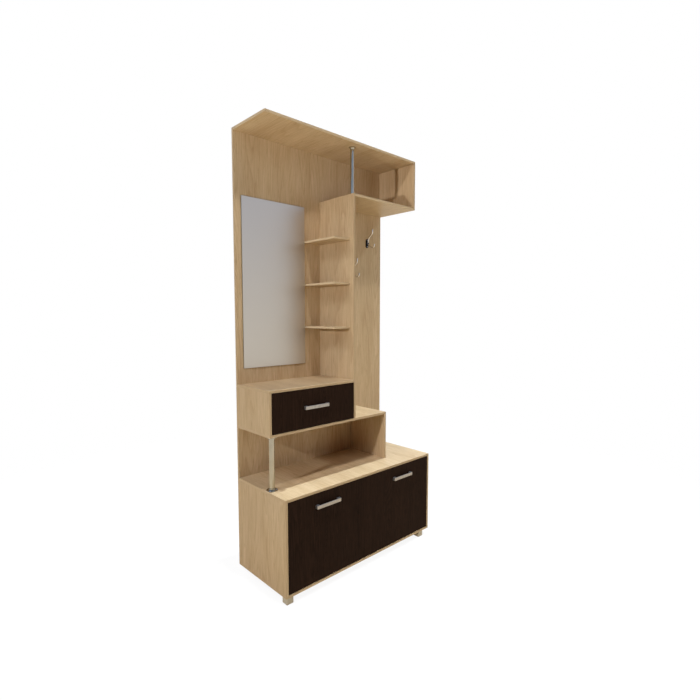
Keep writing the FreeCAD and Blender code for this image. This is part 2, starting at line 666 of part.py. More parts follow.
# Two coat hooks, the second lower and nearer to the divider
def build_hooks(tree):
    for index in range(2):
        x = RIGHT - HOOK_INSET - HOOK_STEP_ACROSS * index
        z = HAT_UNDER - HOOK_DROP - HOOK_STEP_DOWN * index
        centre = FreeCAD.Vector(x, BACK_FACE, z)
        root = centre - REARWARD * HOOK_PLATE_THICKNESS
        tree.add("coat_hook_plates", hook_plate(centre))
        tree.add("coat_hook_prongs", hook_prongs(root))
        spigot_hole = HOOK_SPIGOT_DIAMETER + 2 * SCREW_CLEARANCE
        tree.cut("coat_hook_plates", rod(root, REARWARD, spigot_hole, HOOK_PLATE_THICKNESS))
        for rise in (-HOOK_SCREW_SPACING / 2, HOOK_SCREW_SPACING / 2):
            fitting_screw(tree, "fitting_screws", "coat_hook_plates", "back_board", root + UPWARD * rise,
                          REARWARD, HOOK_PLATE_THICKNESS)


# Folded brackets that hold the top board to the wall
def build_wall_brackets(tree):
    for x in (LEFT + BRACKET_INSET, RIGHT - BRACKET_INSET):
        across = (x - BRACKET_WIDTH / 2, x + BRACKET_WIDTH / 2)
        lying = block(across, (REAR - BRACKET_LEG, REAR), (CARCASS_TOP, CARCASS_TOP + BRACKET_SHEET))
        standing = block(across, (REAR - BRACKET_SHEET, REAR), (CARCASS_TOP, CARCASS_TOP + BRACKET_LEG))
        tree.add("wall_brackets", lying.fuse(standing).removeSplitter())
        hole = FreeCAD.Vector(x, REAR, CARCASS_TOP + BRACKET_HOLE_RISE)
        tree.cut("wall_brackets", rod(hole, -REARWARD, BRACKET_HOLE_DIAMETER, BRACKET_SHEET))
        middle = REAR - (BRACKET_LEG + BRACKET_SHEET) / 2
        for offset in (-BRACKET_SCREW_PITCH / 2, BRACKET_SCREW_PITCH / 2):
            start = FreeCAD.Vector(x, middle + offset, CARCASS_TOP + BRACKET_SHEET)
            fitting_screw(tree, "fitting_screws", "wall_brackets", "top_board", start, -UPWARD,
                          BRACKET_SHEET)


def handle_bow(centre):
    """Flat bar bent to a bow; centre is on the face that its two legs stand on."""
    face = centre.y - HANDLE_PROJECTION
    half = (HANDLE_CENTRES + HANDLE_LEG) / 2
    finger_half = (HANDLE_CENTRES - HANDLE_LEG) / 2
    top = centre.z + HANDLE_HEIGHT / 2
    height = (top - HANDLE_HEIGHT, top)
    bow = block((centre.x - half, centre.x + half), (face, centre.y), height)
    fingers = (centre.x - finger_half, centre.x + finger_half)
    bow = bow.cut(block(fingers, (face + HANDLE_BAR, centre.y), height))
    corners = [edge for edge in bow.Edges if all(abs(point.Y - face) < EDGE_EASE for point in edge.Vertexes)
               and edge.BoundBox.ZLength > edge.BoundBox.XLength]
    bow = bow.makeFillet(HANDLE_BEND, corners)
    rims = [edge for edge in bow.Edges if edge.BoundBox.ZLength < EDGE_EASE
            and edge.BoundBox.YMin < centre.y - EDGE_EASE]
    return bow.makeFillet(HANDLE_EASE, rims)


def handle(tree, node, screw_node, front_node, centre):
    """Bow handle with its screws; centre is on the outer face of the front that carries it."""
    length = BOARD + HANDLE_SCREW_BITE
    tree.add(node, handle_bow(centre))
    for offset in (-HANDLE_CENTRES / 2, HANDLE_CENTRES / 2):
        seat = centre + RIGHTWARD * offset + REARWARD * BOARD
        tree.add(screw_node, pan_screw(seat, -REARWARD, HANDLE_SCREW_DIAMETER, HANDLE_SCREW_HEAD_DIAMETER,
                                       HANDLE_SCREW_HEAD, length))
        hole = rod(seat, -REARWARD, HANDLE_SCREW_DIAMETER + 2 * SCREW_CLEARANCE,
                   length + SCREW_END_CLEARANCE)
        tree.cut(front_node, hole)
        tree.cut(node, hole)


# Values that the drawer and its runners share
RUNNER_UNDER = CASE_FLOOR + RUNNER_RISE
RUNNER_FRONT = CASE_FRONT + BOARD + RUNNER_SETBACK
RUNNER_REAR = RUNNER_FRONT + RUNNER_LENGTH
RIDER_UNDER = RUNNER_UNDER + RIDER_RISE
RIDER_TOP = RIDER_UNDER + RIDER_HEIGHT
DRAWER_UNDER = RIDER_UNDER + RUNNER_SHEET
CASE_ROLLER_HEIGHT = RIDER_TOP - RUNNER_SHEET - ROLLER_GAP - ROLLER_RADIUS
DRAWER_ROLLER_HEIGHT = RUNNER_UNDER + RUNNER_SHEET + ROLLER_GAP + ROLLER_RADIUS
CASE_SIDES = (("left", LEFT + BOARD, 1), ("right", CASE_RIGHT - BOARD, -1))


def axle(start, direction, length):
    """Riveted stud with a head on its free end."""
    stud = rod(start, direction, AXLE_DIAMETER, length)
    return stud.fuse(rod(start + direction * length, direction, AXLE_HEAD_DIAMETER, AXLE_HEAD))


def roller(start, direction):
    """Nylon roller with a plain bore."""
    wheel = rod(start, direction, 2 * ROLLER_RADIUS, ROLLER_WIDTH)
    wheel = wheel.makeFillet(ROLLER_EASE, round_edges(wheel))
    return wheel.cut(rod(start, direction, AXLE_DIAMETER + 2 * RUNNING_CLEARANCE, ROLLER_WIDTH))


# Case half of each runner: a channel on the case side, with a roller near its mouth
def build_case_runners(tree):
    for side, face, inward in CASE_SIDES:
        node = f"case_runner_{side}"
        along = (RUNNER_FRONT, RUNNER_REAR)
        direction = RIGHTWARD * inward
        web_face = face + inward * RUNNER_SHEET
        lip = web_face + inward * RUNNER_FLANGE
        roof = RUNNER_UNDER + RUNNER_HEIGHT
        web = block((face, web_face), along, (RUNNER_UNDER, roof))
        track = block((face, lip), along, (RUNNER_UNDER, RUNNER_UNDER + RUNNER_SHEET))
        cover = block((face, lip), (RUNNER_FRONT + RUNNER_MOUTH, RUNNER_REAR), (roof - RUNNER_SHEET, roof))
        stud_start = FreeCAD.Vector(web_face, RUNNER_FRONT + ROLLER_INSET, CASE_ROLLER_HEIGHT)
        stud = axle(stud_start, direction, CASE_ROLLER_OFFSET + ROLLER_WIDTH + ROLLER_SIDE_PLAY)
        tree.add(node, web.fuse([track, cover, stud]).removeSplitter())
        tree.add(f"case_roller_{side}", roller(stud_start + direction * CASE_ROLLER_OFFSET, direction))
        for y in spread(*along, RUNNER_SCREW_MARGIN, 2):
            start = FreeCAD.Vector(web_face, y, RUNNER_UNDER + RUNNER_SCREW_HEIGHT)
            fitting_screw(tree, "fitting_screws", node, f"drawer_case_{side}_side", start, -direction,
                          RUNNER_SHEET)


# Drawer half of each runner: an angle under the drawer side, with a roller at its rear end
def build_drawer_runners(tree):
    for side, face, inward in CASE_SIDES:
        node = f"drawer_runner_{side}"
        along = (RUNNER_FRONT, RUNNER_REAR)
        direction = -RIGHTWARD * inward
        drawer_face = face + inward * DRAWER_SIDE_GAP
        web_face = drawer_face - inward * RUNNER_SHEET
        web = block((web_face, drawer_face), along, (RIDER_UNDER, RIDER_TOP))
        rider = block((drawer_face, web_face - inward * RIDER_REACH), along,
                      (RIDER_TOP - RUNNER_SHEET, RIDER_TOP))
        seat = block((web_face, drawer_face + inward * RIDER_SEAT), along, (RIDER_UNDER, DRAWER_UNDER))
        stud_start = FreeCAD.Vector(web_face, RUNNER_REAR - ROLLER_INSET, DRAWER_ROLLER_HEIGHT)
        stud = axle(stud_start, direction, 2 * ROLLER_SIDE_PLAY + ROLLER_WIDTH)
        tree.add(node, web.fuse([rider, seat, stud]).removeSplitter())
        tree.add(f"drawer_roller_{side}", roller(stud_start + direction * ROLLER_SIDE_PLAY, direction))
        x = drawer_face + inward * BOARD / 2
        for y in spread(RUNNER_FRONT, RUNNER_FRONT + DRAWER_LENGTH, RUNNER_SCREW_MARGIN, 2):
            start = FreeCAD.Vector(x, y, RIDER_UNDER)
            fitting_screw(tree, "drawer_runner_screws", node, f"drawer_{side}_side", start, UPWARD,
                          RUNNER_SHEET)


# Drawer: an inset front, two sides, a back and a thin floor that slides in grooves
def build_drawer(tree):
    front_rear = CASE_FRONT + BOARD
    rear = front_rear + DRAWER_LENGTH
    inner_left = LEFT + BOARD + DRAWER_SIDE_GAP
    inner_right = CASE_RIGHT - BOARD - DRAWER_SIDE_GAP
    side_top = DRAWER_UNDER + DRAWER_SIDE_HEIGHT
    floor_under = DRAWER_UNDER + DRAWER_FLOOR_RISE
    floor_top = floor_under + DRAWER_FLOOR
    opening = (LEFT + BOARD + FRONT_GAP, CASE_RIGHT - BOARD - FRONT_GAP)
    height = (CASE_FLOOR + FRONT_GAP, CASE_CEILING - FRONT_GAP)
    tree.add("drawer_front", board(opening, (CASE_FRONT, front_rear), height))
    dowel_heights = (DRAWER_UNDER + DRAWER_DOWEL_LOW, DRAWER_UNDER + DRAWER_DOWEL_HIGH)
    back_middle = rear - BOARD / 2
    for side, outer, inward in (("left", inner_left, 1), ("right", inner_right, -1)):
        node = f"drawer_{side}_side"
        inner = outer + inward * BOARD
        middle = (outer + inner) / 2
        tree.add(node, board((outer, inner), (front_rear, rear), (DRAWER_UNDER, side_top)))
        dowel_row(tree, "drawer_front", node,
                  at_points(dowel_heights, lambda z: (middle, front_rear, z)), REARWARD, "drawer_dowels")
        dowel_row(tree, node, "drawer_back",
                  at_points(dowel_heights, lambda z: (inner, back_middle, z)), RIGHTWARD * inward,
                  "drawer_dowels")
    walls = (inner_left + BOARD, inner_right - BOARD)
    tree.add("drawer_back", board(walls, (rear - BOARD, rear), (floor_top + GROOVE_CLEARANCE, side_top)))
    floor_across = (walls[0] - DRAWER_FLOOR_GROOVE, walls[1] + DRAWER_FLOOR_GROOVE)
    floor_along = (front_rear - DRAWER_FLOOR_GROOVE, rear)
    tree.add("drawer_floor", block(floor_across, floor_along, (floor_under, floor_top)))
    groove = block((floor_across[0] - GROOVE_CLEARANCE, floor_across[1] + GROOVE_CLEARANCE),
                   (floor_along[0] - GROOVE_CLEARANCE, rear + GROOVE_CLEARANCE),
                   (floor_under - GROOVE_CLEARANCE, floor_top + GROOVE_CLEARANCE))
    for node in ("drawer_front", "drawer_left_side", "drawer_right_side"):
        tree.cut(node, groove)
    middle = FreeCAD.Vector(sum(opening) / 2, CASE_FRONT, sum(height) / 2 + DRAWER_HANDLE_RISE)
    handle(tree, "drawer_handle", "drawer_handle_screws", "drawer_front", middle)


# Values that the flap, its pivots and its shoe bin share
FLAP_LEFT = LEFT + BOARD + FRONT_GAP
FLAP_RIGHT = RIGHT - BOARD - FRONT_GAP
FLAP_UNDER = BASE_FLOOR + FLAP_LOWER_GAP
FLAP_TOP = BASE_CEILING - FRONT_GAP
FLAP_REAR = BASE_FRONT + BOARD
PIVOT_Y = BASE_FRONT + BOARD / 2
PIVOT_Z = FLAP_UNDER + BOARD / 2
BIN_RADIUS = min(BACK_FACE - PIVOT_Y, BASE_CEILING - PIVOT_Z) - CHEEK_CLEARANCE
BASE_SIDES = (("left", LEFT, 1), ("right", RIGHT, -1))


def polar(radius, degrees):
    """Point of the flap's swing plane around the pivot: 0 degrees is to the wall, 90 is up."""
    angle = math.radians(degrees)
    return FreeCAD.Vector(0, PIVOT_Y + radius * math.cos(angle), PIVOT_Z + radius * math.sin(angle))


def swing_arc(radius, start, end):
    """Arc around the pivot between two angles."""
    return Part.Arc(polar(radius, start), polar(radius, (start + end) / 2), polar(radius, end)).toShape()


def tray_reach():
    """How far behind the pivot the trays end, so that the upper one stays inside the bin's round rim."""
    highest = TRAY_FIRST_RISE + TRAY_PITCH + BOARD
    return math.sqrt((BIN_RADIUS - TRAY_EDGE_MARGIN) ** 2 - highest ** 2)


def cheek_outline():
    """Side plate of the shoe bin: straight along the flap, round about the pivot, and under the trays."""
    low = PIVOT_Z + CHEEK_LOW_EDGE
    top_angle = math.degrees(math.acos((FLAP_REAR - PIVOT_Y) / BIN_RADIUS))
    toe = FreeCAD.Vector(0, FLAP_REAR, low)
    heel = FreeCAD.Vector(0, PIVOT_Y + tray_reach() + CHEEK_HEEL_MARGIN, low)
    rim = swing_arc(BIN_RADIUS, top_angle, CHEEK_HEEL_ANGLE)
    edges = [Part.makeLine(toe, polar(BIN_RADIUS, top_angle)), rim,
             Part.makeLine(polar(BIN_RADIUS, CHEEK_HEEL_ANGLE), heel), Part.makeLine(heel, toe)]
    return Part.Face(Part.Wire(edges))


def swing_step(degrees, distance):
    """Step along the swing at an angle."""
    angle = math.radians(degrees)
    return FreeCAD.Vector(0, -distance * math.sin(angle), distance * math.cos(angle))


def slot_end(degrees, half):
    """Round end of the stop slot; half is negative at the end that lies lower."""
    width = abs(half)
    crown = polar(STOP_RADIUS, degrees) + swing_step(degrees, half)
    return Part.Arc(polar(STOP_RADIUS - width, degrees), crown, polar(STOP_RADIUS + width, degrees)).toShape()


def stop_slot():
    """Curved slot that slides over the stop pin through the whole travel."""
    half = STOP_PIN_DIAMETER / 2 + STOP_CLEARANCE
    last = STOP_ANGLE - FLAP_TRAVEL
    edges = [slot_end(STOP_ANGLE, half), swing_arc(STOP_RADIUS + half, STOP_ANGLE, last),
             slot_end(last, -half), swing_arc(STOP_RADIUS - half, last, STOP_ANGLE)]
    return Part.Face(Part.Wire(edges))


# Flap panel with its two handles
def build_flap(tree):
    tree.add("flap_front", board((FLAP_LEFT, FLAP_RIGHT), (BASE_FRONT, FLAP_REAR), (FLAP_UNDER, FLAP_TOP)))
    for side, x in (("left", LEFT + FLAP_HANDLE_INSET), ("right", RIGHT - FLAP_HANDLE_INSET)):
        centre = FreeCAD.Vector(x, BASE_FRONT, FLAP_TOP - FLAP_HANDLE_DROP)
        handle(tree, f"flap_handle_{side}", "flap_handle_screws", "flap_front", centre)


# Pivot pins in the flap, turning in flanged bushes in the base sides
def build_pivots(tree):
    pivot = FreeCAD.Vector(0, PIVOT_Y, PIVOT_Z)
    bore_diameter = PIVOT_PIN_DIAMETER + 2 * RUNNING_CLEARANCE
    bush_diameter = bore_diameter + 2 * BUSH_WALL
    for side, outer, inward in BASE_SIDES:
        direction = RIGHTWARD * inward
        inner = pivot + RIGHTWARD * (outer + inward * BOARD)
        bush_start = inner - direction * BUSH_DEPTH
        pin_length = BUSH_DEPTH + FRONT_GAP + PIVOT_PIN_DEPTH
        tree.add("flap_pivot_pins", rod(bush_start, direction, PIVOT_PIN_DIAMETER, pin_length))
        tree.cut("flap_front", rod(bush_start, direction, PIVOT_PIN_DIAMETER + 2 * SCREW_CLEARANCE,
                                   pin_length + SCREW_END_CLEARANCE))
        bush = rod(bush_start, direction, bush_diameter, BUSH_DEPTH)
        bush = bush.fuse(rod(inner, direction, BUSH_FLANGE_DIAMETER, BUSH_FLANGE)).removeSplitter()
        bore = rod(bush_start, direction, bore_diameter, BUSH_DEPTH + BUSH_FLANGE)
        tree.add("pivot_bushes", bush.cut(bore))
        seat_diameter = bush_diameter + 2 * SCREW_CLEARANCE
        tree.cut(f"base_{side}_side", rod(bush_start, direction, seat_diameter, BUSH_DEPTH))


# Cheeks of folded sheet behind the flap, each with a curved slot for its stop pin
def build_cheeks(tree):
    pin_at = polar(STOP_RADIUS, STOP_ANGLE)
    for side, outer, inward in BASE_SIDES:
        node = f"flap_cheek_{side}"
        direction = RIGHTWARD * inward
        inner = outer + inward * BOARD
        plate_face = inner + inward * CHEEK_GAP
        plate_inner = plate_face + inward * CHEEK_SHEET
        plate = cheek_outline().extrude(direction * CHEEK_SHEET)
        plate.translate(RIGHTWARD * plate_face)
        slot = stop_slot().extrude(direction * CHEEK_SHEET)
        slot.translate(RIGHTWARD * plate_face)
        flange_height = (PIVOT_Z + CHEEK_FLANGE_MARGIN, PIVOT_Z + BIN_RADIUS - CHEEK_FLANGE_MARGIN)
        flange = block((plate_face, plate_inner + inward * CHEEK_FLANGE),
                       (FLAP_REAR, FLAP_REAR + CHEEK_SHEET), flange_height)
        tree.add(node, plate.fuse(flange).removeSplitter().cut(slot))
        screw_x = plate_inner + inward * CHEEK_FLANGE / 2
        for z in spread(*flange_height, CHEEK_FLANGE_MARGIN, CHEEK_SCREW_COUNT):
            start = FreeCAD.Vector(screw_x, FLAP_REAR + CHEEK_SHEET, z)
            fitting_screw(tree, "flap_screws", node, "flap_front", start, -REARWARD, CHEEK_SHEET)
        pin_start = pin_at + RIGHTWARD * inner - direction * STOP_PIN_DEPTH
        pin_length = STOP_PIN_DEPTH + CHEEK_GAP + CHEEK_SHEET + STOP_PIN_OVERHANG
        tree.add("flap_stop_pins", rod(pin_start, direction, STOP_PIN_DIAMETER, pin_length))
        tree.cut(f"base_{side}_side", rod(pin_start, direction, STOP_PIN_DIAMETER + 2 * SCREW_CLEARANCE,
                                          STOP_PIN_DEPTH))


# Two shoe trays between the cheeks
def build_trays(tree):
    margin = BOARD + CHEEK_GAP + CHEEK_SHEET
    across = (LEFT + margin, RIGHT - margin)
    along = (FLAP_REAR + CHEEK_SHEET + TRAY_GAP, PIVOT_Y + tray_reach())
    for index, node in enumerate(("shoe_tray_lower", "shoe_tray_upper")):
        under = PIVOT_Z + TRAY_FIRST_RISE + TRAY_PITCH * index
        tree.add(node, board(across, along, (under, under + BOARD)))
        for side, end, inward in (("left", across[0], 1), ("right", across[1], -1)):
            for y in spread(*along, TRAY_SCREW_MARGIN, 2):
                start = FreeCAD.Vector(end - inward * CHEEK_SHEET, y, under + BOARD / 2)
                fitting_screw(tree, "flap_screws", f"flap_cheek_{side}", node, start, RIGHTWARD * inward,
                              CHEEK_SHEET)


def main():
    tree = HallTree()
    for build in (build_base, build_feet, build_back_and_top, build_niche, build_drawer_case,
                  build_divider_and_hat_box, build_display_shelves, build_mirror, build_lower_post,
                  build_upper_post, build_hooks, build_wall_brackets, build_case_runners,
                  build_drawer_runners, build_drawer, build_flap, build_pivots, build_cheeks, build_trays):
        build(tree)
    tree.write()


main()
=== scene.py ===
"""Looks of a hall tree: oak boards, dark fronts, mirror, chromed posts and hooks, drawer and shoe flap.

Lengths are metres in the frame's own axes: +X to the right, +Y to the wall, +Z up.
Boards, posts, hooks and runners keep the frame's shapes and get their finishes here.
Screws and dowels are made here in full, at the places of the frame's plain ones.
"""
import logging
import math
from collections.abc import Iterable
from dataclasses import dataclass, field, replace
from enum import Enum
from typing import Any

import bmesh
import bpy
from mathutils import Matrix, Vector


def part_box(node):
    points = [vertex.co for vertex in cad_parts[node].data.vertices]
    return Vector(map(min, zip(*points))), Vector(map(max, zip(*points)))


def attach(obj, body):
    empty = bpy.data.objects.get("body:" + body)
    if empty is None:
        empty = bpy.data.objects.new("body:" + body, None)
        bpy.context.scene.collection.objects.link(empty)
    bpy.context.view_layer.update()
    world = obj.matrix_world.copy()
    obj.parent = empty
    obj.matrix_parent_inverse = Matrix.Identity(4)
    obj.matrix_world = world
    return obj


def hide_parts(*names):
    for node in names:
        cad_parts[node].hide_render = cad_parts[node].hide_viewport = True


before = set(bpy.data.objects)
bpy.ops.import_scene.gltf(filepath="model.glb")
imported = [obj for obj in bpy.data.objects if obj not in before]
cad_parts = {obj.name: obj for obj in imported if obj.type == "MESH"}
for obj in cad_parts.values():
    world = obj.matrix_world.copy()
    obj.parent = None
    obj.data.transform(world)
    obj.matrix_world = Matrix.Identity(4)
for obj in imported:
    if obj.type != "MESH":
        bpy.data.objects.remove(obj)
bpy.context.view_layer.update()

LOG = logging.getLogger("hall_tree")
MM = 0.001
# Corners closer than this are one corner
SAME = 0.001 * MM
# Depths or radii on a screw that differ by less than this count as equal
NEAR = 0.01 * MM
# Decimal places that keep a length in metres to a hundredth of a millimetre
PLACES = 5
# Power of a lamp without falloff that lights a white card, held square to it, to a level of 1
CARD_POWER = 4.0 * math.pi ** 2
# Name of the mesh attribute that tells which way a screw or dowel points
DIRECTION = "direction"
# Places of a colour Mix node's sockets, whose names repeat for each kind of value
MIX_FACTOR, MIX_A, MIX_B, MIX_RESULT = 0, 6, 7, 2

Colour = tuple[float, float, float, float]
Socket = bpy.types.NodeSocket
Tree = bpy.types.NodeTree


class Axis(Enum):
    """An axis of the frame, by its place in a vector."""

    X = 0
    Y = 1
    Z = 2


def linear(hex_colour: str) -> Colour:
    """Turn an sRGB hex colour into a linear one.

    Args:
        hex_colour: a hash sign and six hex digits.

    Returns:
        Linear red, green, blue and a full alpha.
    """
    shares = [int(hex_colour[place:place + 2], 16) / 255.0 for place in (1, 3, 5)]
    lit = [share / 12.92 if share <= 0.04045 else ((share + 0.055) / 1.055) ** 2.4 for share in shares]
    return (lit[0], lit[1], lit[2], 1.0)


WHITE = linear("#FFFFFF")


def emptied(owner: bpy.types.Material | bpy.types.World | bpy.types.Light) -> Tree:
    """Turn on the nodes of a material, a world or a light.

    Args:
        owner: what has the nodes.

    Returns:
        Its tree, without the nodes that come with it.
    """
    owner.use_nodes = True
    owner.node_tree.nodes.clear()
    return owner.node_tree


def into_scene(name: str, data: bpy.types.ID) -> bpy.types.Object:
    """Make an object and link it to the scene.

    Args:
        name: the object's name.
        data: its mesh, light or camera.

    Returns:
        The object.
    """
    made = bpy.data.objects.new(name, data)
    bpy.context.scene.collection.objects.link(made)
    return made


def add_node(tree: Tree, kind: str, inputs: dict[str | int, Any] | None = None,
             **settings: Any) -> bpy.types.Node:
    """Add one node, set its values and link its inputs.

    Args:
        tree: the node tree that gets the node.
        kind: the node's type name.
        inputs: for each input socket, a socket to link from or a plain value.
        settings: the node's own properties.

    Returns:
        The new node.
    """
    made = tree.nodes.new(kind)
    for name, value in settings.items():
        setattr(made, name, value)
    for key, value in (inputs or {}).items():
        if isinstance(value, Socket):
            tree.links.new(value, made.inputs[key])
        else:
            made.inputs[key].default_value = value
    return made


def calculate(tree: Tree, operation: str, *values: Socket | float) -> Socket:
    """The result of one sum, by the Math node's name for it."""
    return add_node(tree, "ShaderNodeMath", dict(enumerate(values)), operation=operation).outputs[0]


def rescale(tree: Tree, value: Socket, source: tuple[float, float],
            target: tuple[float, float] = (0.0, 1.0), kind: str = "LINEAR") -> Socket:
    """Map one range of a value to another, and hold it at the ends.

    Args:
        tree: the node tree.
        value: the value.
        source: the ends of its range, in either order.
        target: what those ends become.
        kind: the Map Range node's name for the way in between.

    Returns:
        The mapped value.
    """
    inputs = {"Value": value, "From Min": source[0], "From Max": source[1],
              "To Min": target[0], "To Max": target[1]}
    return add_node(tree, "ShaderNodeMapRange", inputs, interpolation_type=kind).outputs[0]


def blend(tree: Tree, share: Socket, first: Socket | Colour, second: Socket | Colour) -> Socket:
    """Mix two colours, by the second one's share from 0 to 1."""
    inputs = {MIX_FACTOR: share, MIX_A: first, MIX_B: second}
    return add_node(tree, "ShaderNodeMix", inputs, data_type="RGBA").outputs[MIX_RESULT]


def ramp(tree: Tree, value: Socket, places: tuple[float, ...], colours: tuple[str, ...]) -> Socket:
    """Colour a value by where it lies between stops.

    Args:
        tree: the node tree.
        value: the value.
        places: the stops, from low to high.
        colours: an sRGB hex colour for each stop.

    Returns:
        The colour.
    """
    made = add_node(tree, "ShaderNodeValToRGB", {0: value})
    elements = made.color_ramp.elements
    while len(elements) < len(places):
        elements.new(places[0])
    for element, place, colour in zip(elements, places, colours):
        element.position = place
        element.color = linear(colour)
    return made.outputs[0]


def facing(tree: Tree, normal: Socket, axis: Axis) -> Socket:
    """How squarely a surface faces along an axis, to either side, from 0 to 1."""
    parts = add_node(tree, "ShaderNodeSeparateXYZ", {0: normal}).outputs
    return calculate(tree, "ABSOLUTE", parts[axis.value])


def streaks(tree: Tree, where: Socket, along: Axis, width_mm: float, length_mm: float,
            detail: float = 2.0) -> bpy.types.Node:
    """Lay noise in patches of a real width and length, drawn out along one axis.

    Args:
        tree: the material's node tree.
        where: coordinates in metres.
        along: the axis that the patches run along.
        width_mm: a patch's width.
        length_mm: a patch's length.
        detail: how many finer layers the noise has.

    Returns:
        The noise node, with its value and colour outputs.
    """
    scale = [1.0 / (width_mm * MM)] * 3
    scale[along.value] = 1.0 / (length_mm * MM)
    mapped = add_node(tree, "ShaderNodeMapping", {"Vector": where, "Scale": tuple(scale)})
    inputs = {"Vector": mapped.outputs[0], "Scale": 1.0, "Detail": detail}
    return add_node(tree, "ShaderNodeTexNoise", inputs)


def weigh(tree: Tree, parts: list[tuple[Socket, float]], start: float = 0.0) -> Socket:
    """Add values up, each with its own weight.

    Args:
        tree: the material's node tree.
        parts: value sockets and their weights.
        start: what the sum starts from.

    Returns:
        The weighted sum.
    """
    total: Socket | float = start
    for value, weight in parts:
        total = calculate(tree, "MULTIPLY_ADD", value, weight, total)
    return total


def rounded_edges(tree: Tree, normal: Socket) -> Socket:
    """Mark the rounded edges of a boxy piece, where its surface faces along no axis.

    Args:
        tree: the material's node tree.
        normal: the surface's direction in the frame's axes.

    Returns:
        0 on flat faces, 1 in the middle of a rounded edge.
    """
    flat, rounded = 0.985, 0.80
    sideways, inwards, upwards = (facing(tree, normal, axis) for axis in Axis)
    squarest = calculate(tree, "MAXIMUM", calculate(tree, "MAXIMUM", sideways, inwards), upwards)
    return rescale(tree, squarest, (flat, rounded))


@dataclass(frozen=True)
class Finish:
    """A surface finish: values that hold all over it, and a pattern that paint() adds."""

    name: str
    roughness: float = 0.5
    metallic: float = 0.0
    specular: float = 0.5

    def material(self) -> bpy.types.Material:
        """Make this finish's material, once.

        Returns:
            The material, new or made before.
        """
        made = bpy.data.materials.get(self.name)
        if made is not None:
            return made
        made = bpy.data.materials.new(self.name)
        tree = emptied(made)
        values = {"Roughness": self.roughness, "Metallic": self.metallic,
                  "Specular IOR Level": self.specular}
        shader = add_node(tree, "ShaderNodeBsdfPrincipled", values)
        add_node(tree, "ShaderNodeOutputMaterial", {"Surface": shader.outputs["BSDF"]})
        self.paint(tree, shader)
        return made

    def paint(self, tree: Tree, shader: bpy.types.Node) -> None:
        """Add the finish's pattern to the tree, and feed the shader with it."""
        raise NotImplementedError

    def vary_gloss(self, tree: Tree, shader: bpy.types.Node, value: Socket, reach: float) -> None:
        """Let the roughness follow a value from 0 to 1, by some reach to either side of the finish's own."""
        rough = rescale(tree, value, (0.0, 1.0), (self.roughness - reach, self.roughness + reach))
        tree.links.new(rough, shader.inputs["Roughness"])

    def emboss(self, tree: Tree, shader: bpy.types.Node, height: Socket, strength: float,
               depth_mm: float) -> None:
        """Press a relief into the surface.

        Args:
            tree: the material's node tree.
            shader: the shader that it feeds.
            height: the relief's height, as a share of its depth.
            strength: how much of it shows, from 0 to 1.
            depth_mm: its depth.
        """
        inputs = {"Height": height, "Strength": strength, "Distance": depth_mm * MM}
        bump = add_node(tree, "ShaderNodeBump", inputs)
        tree.links.new(bump.outputs[0], shader.inputs["Normal"])


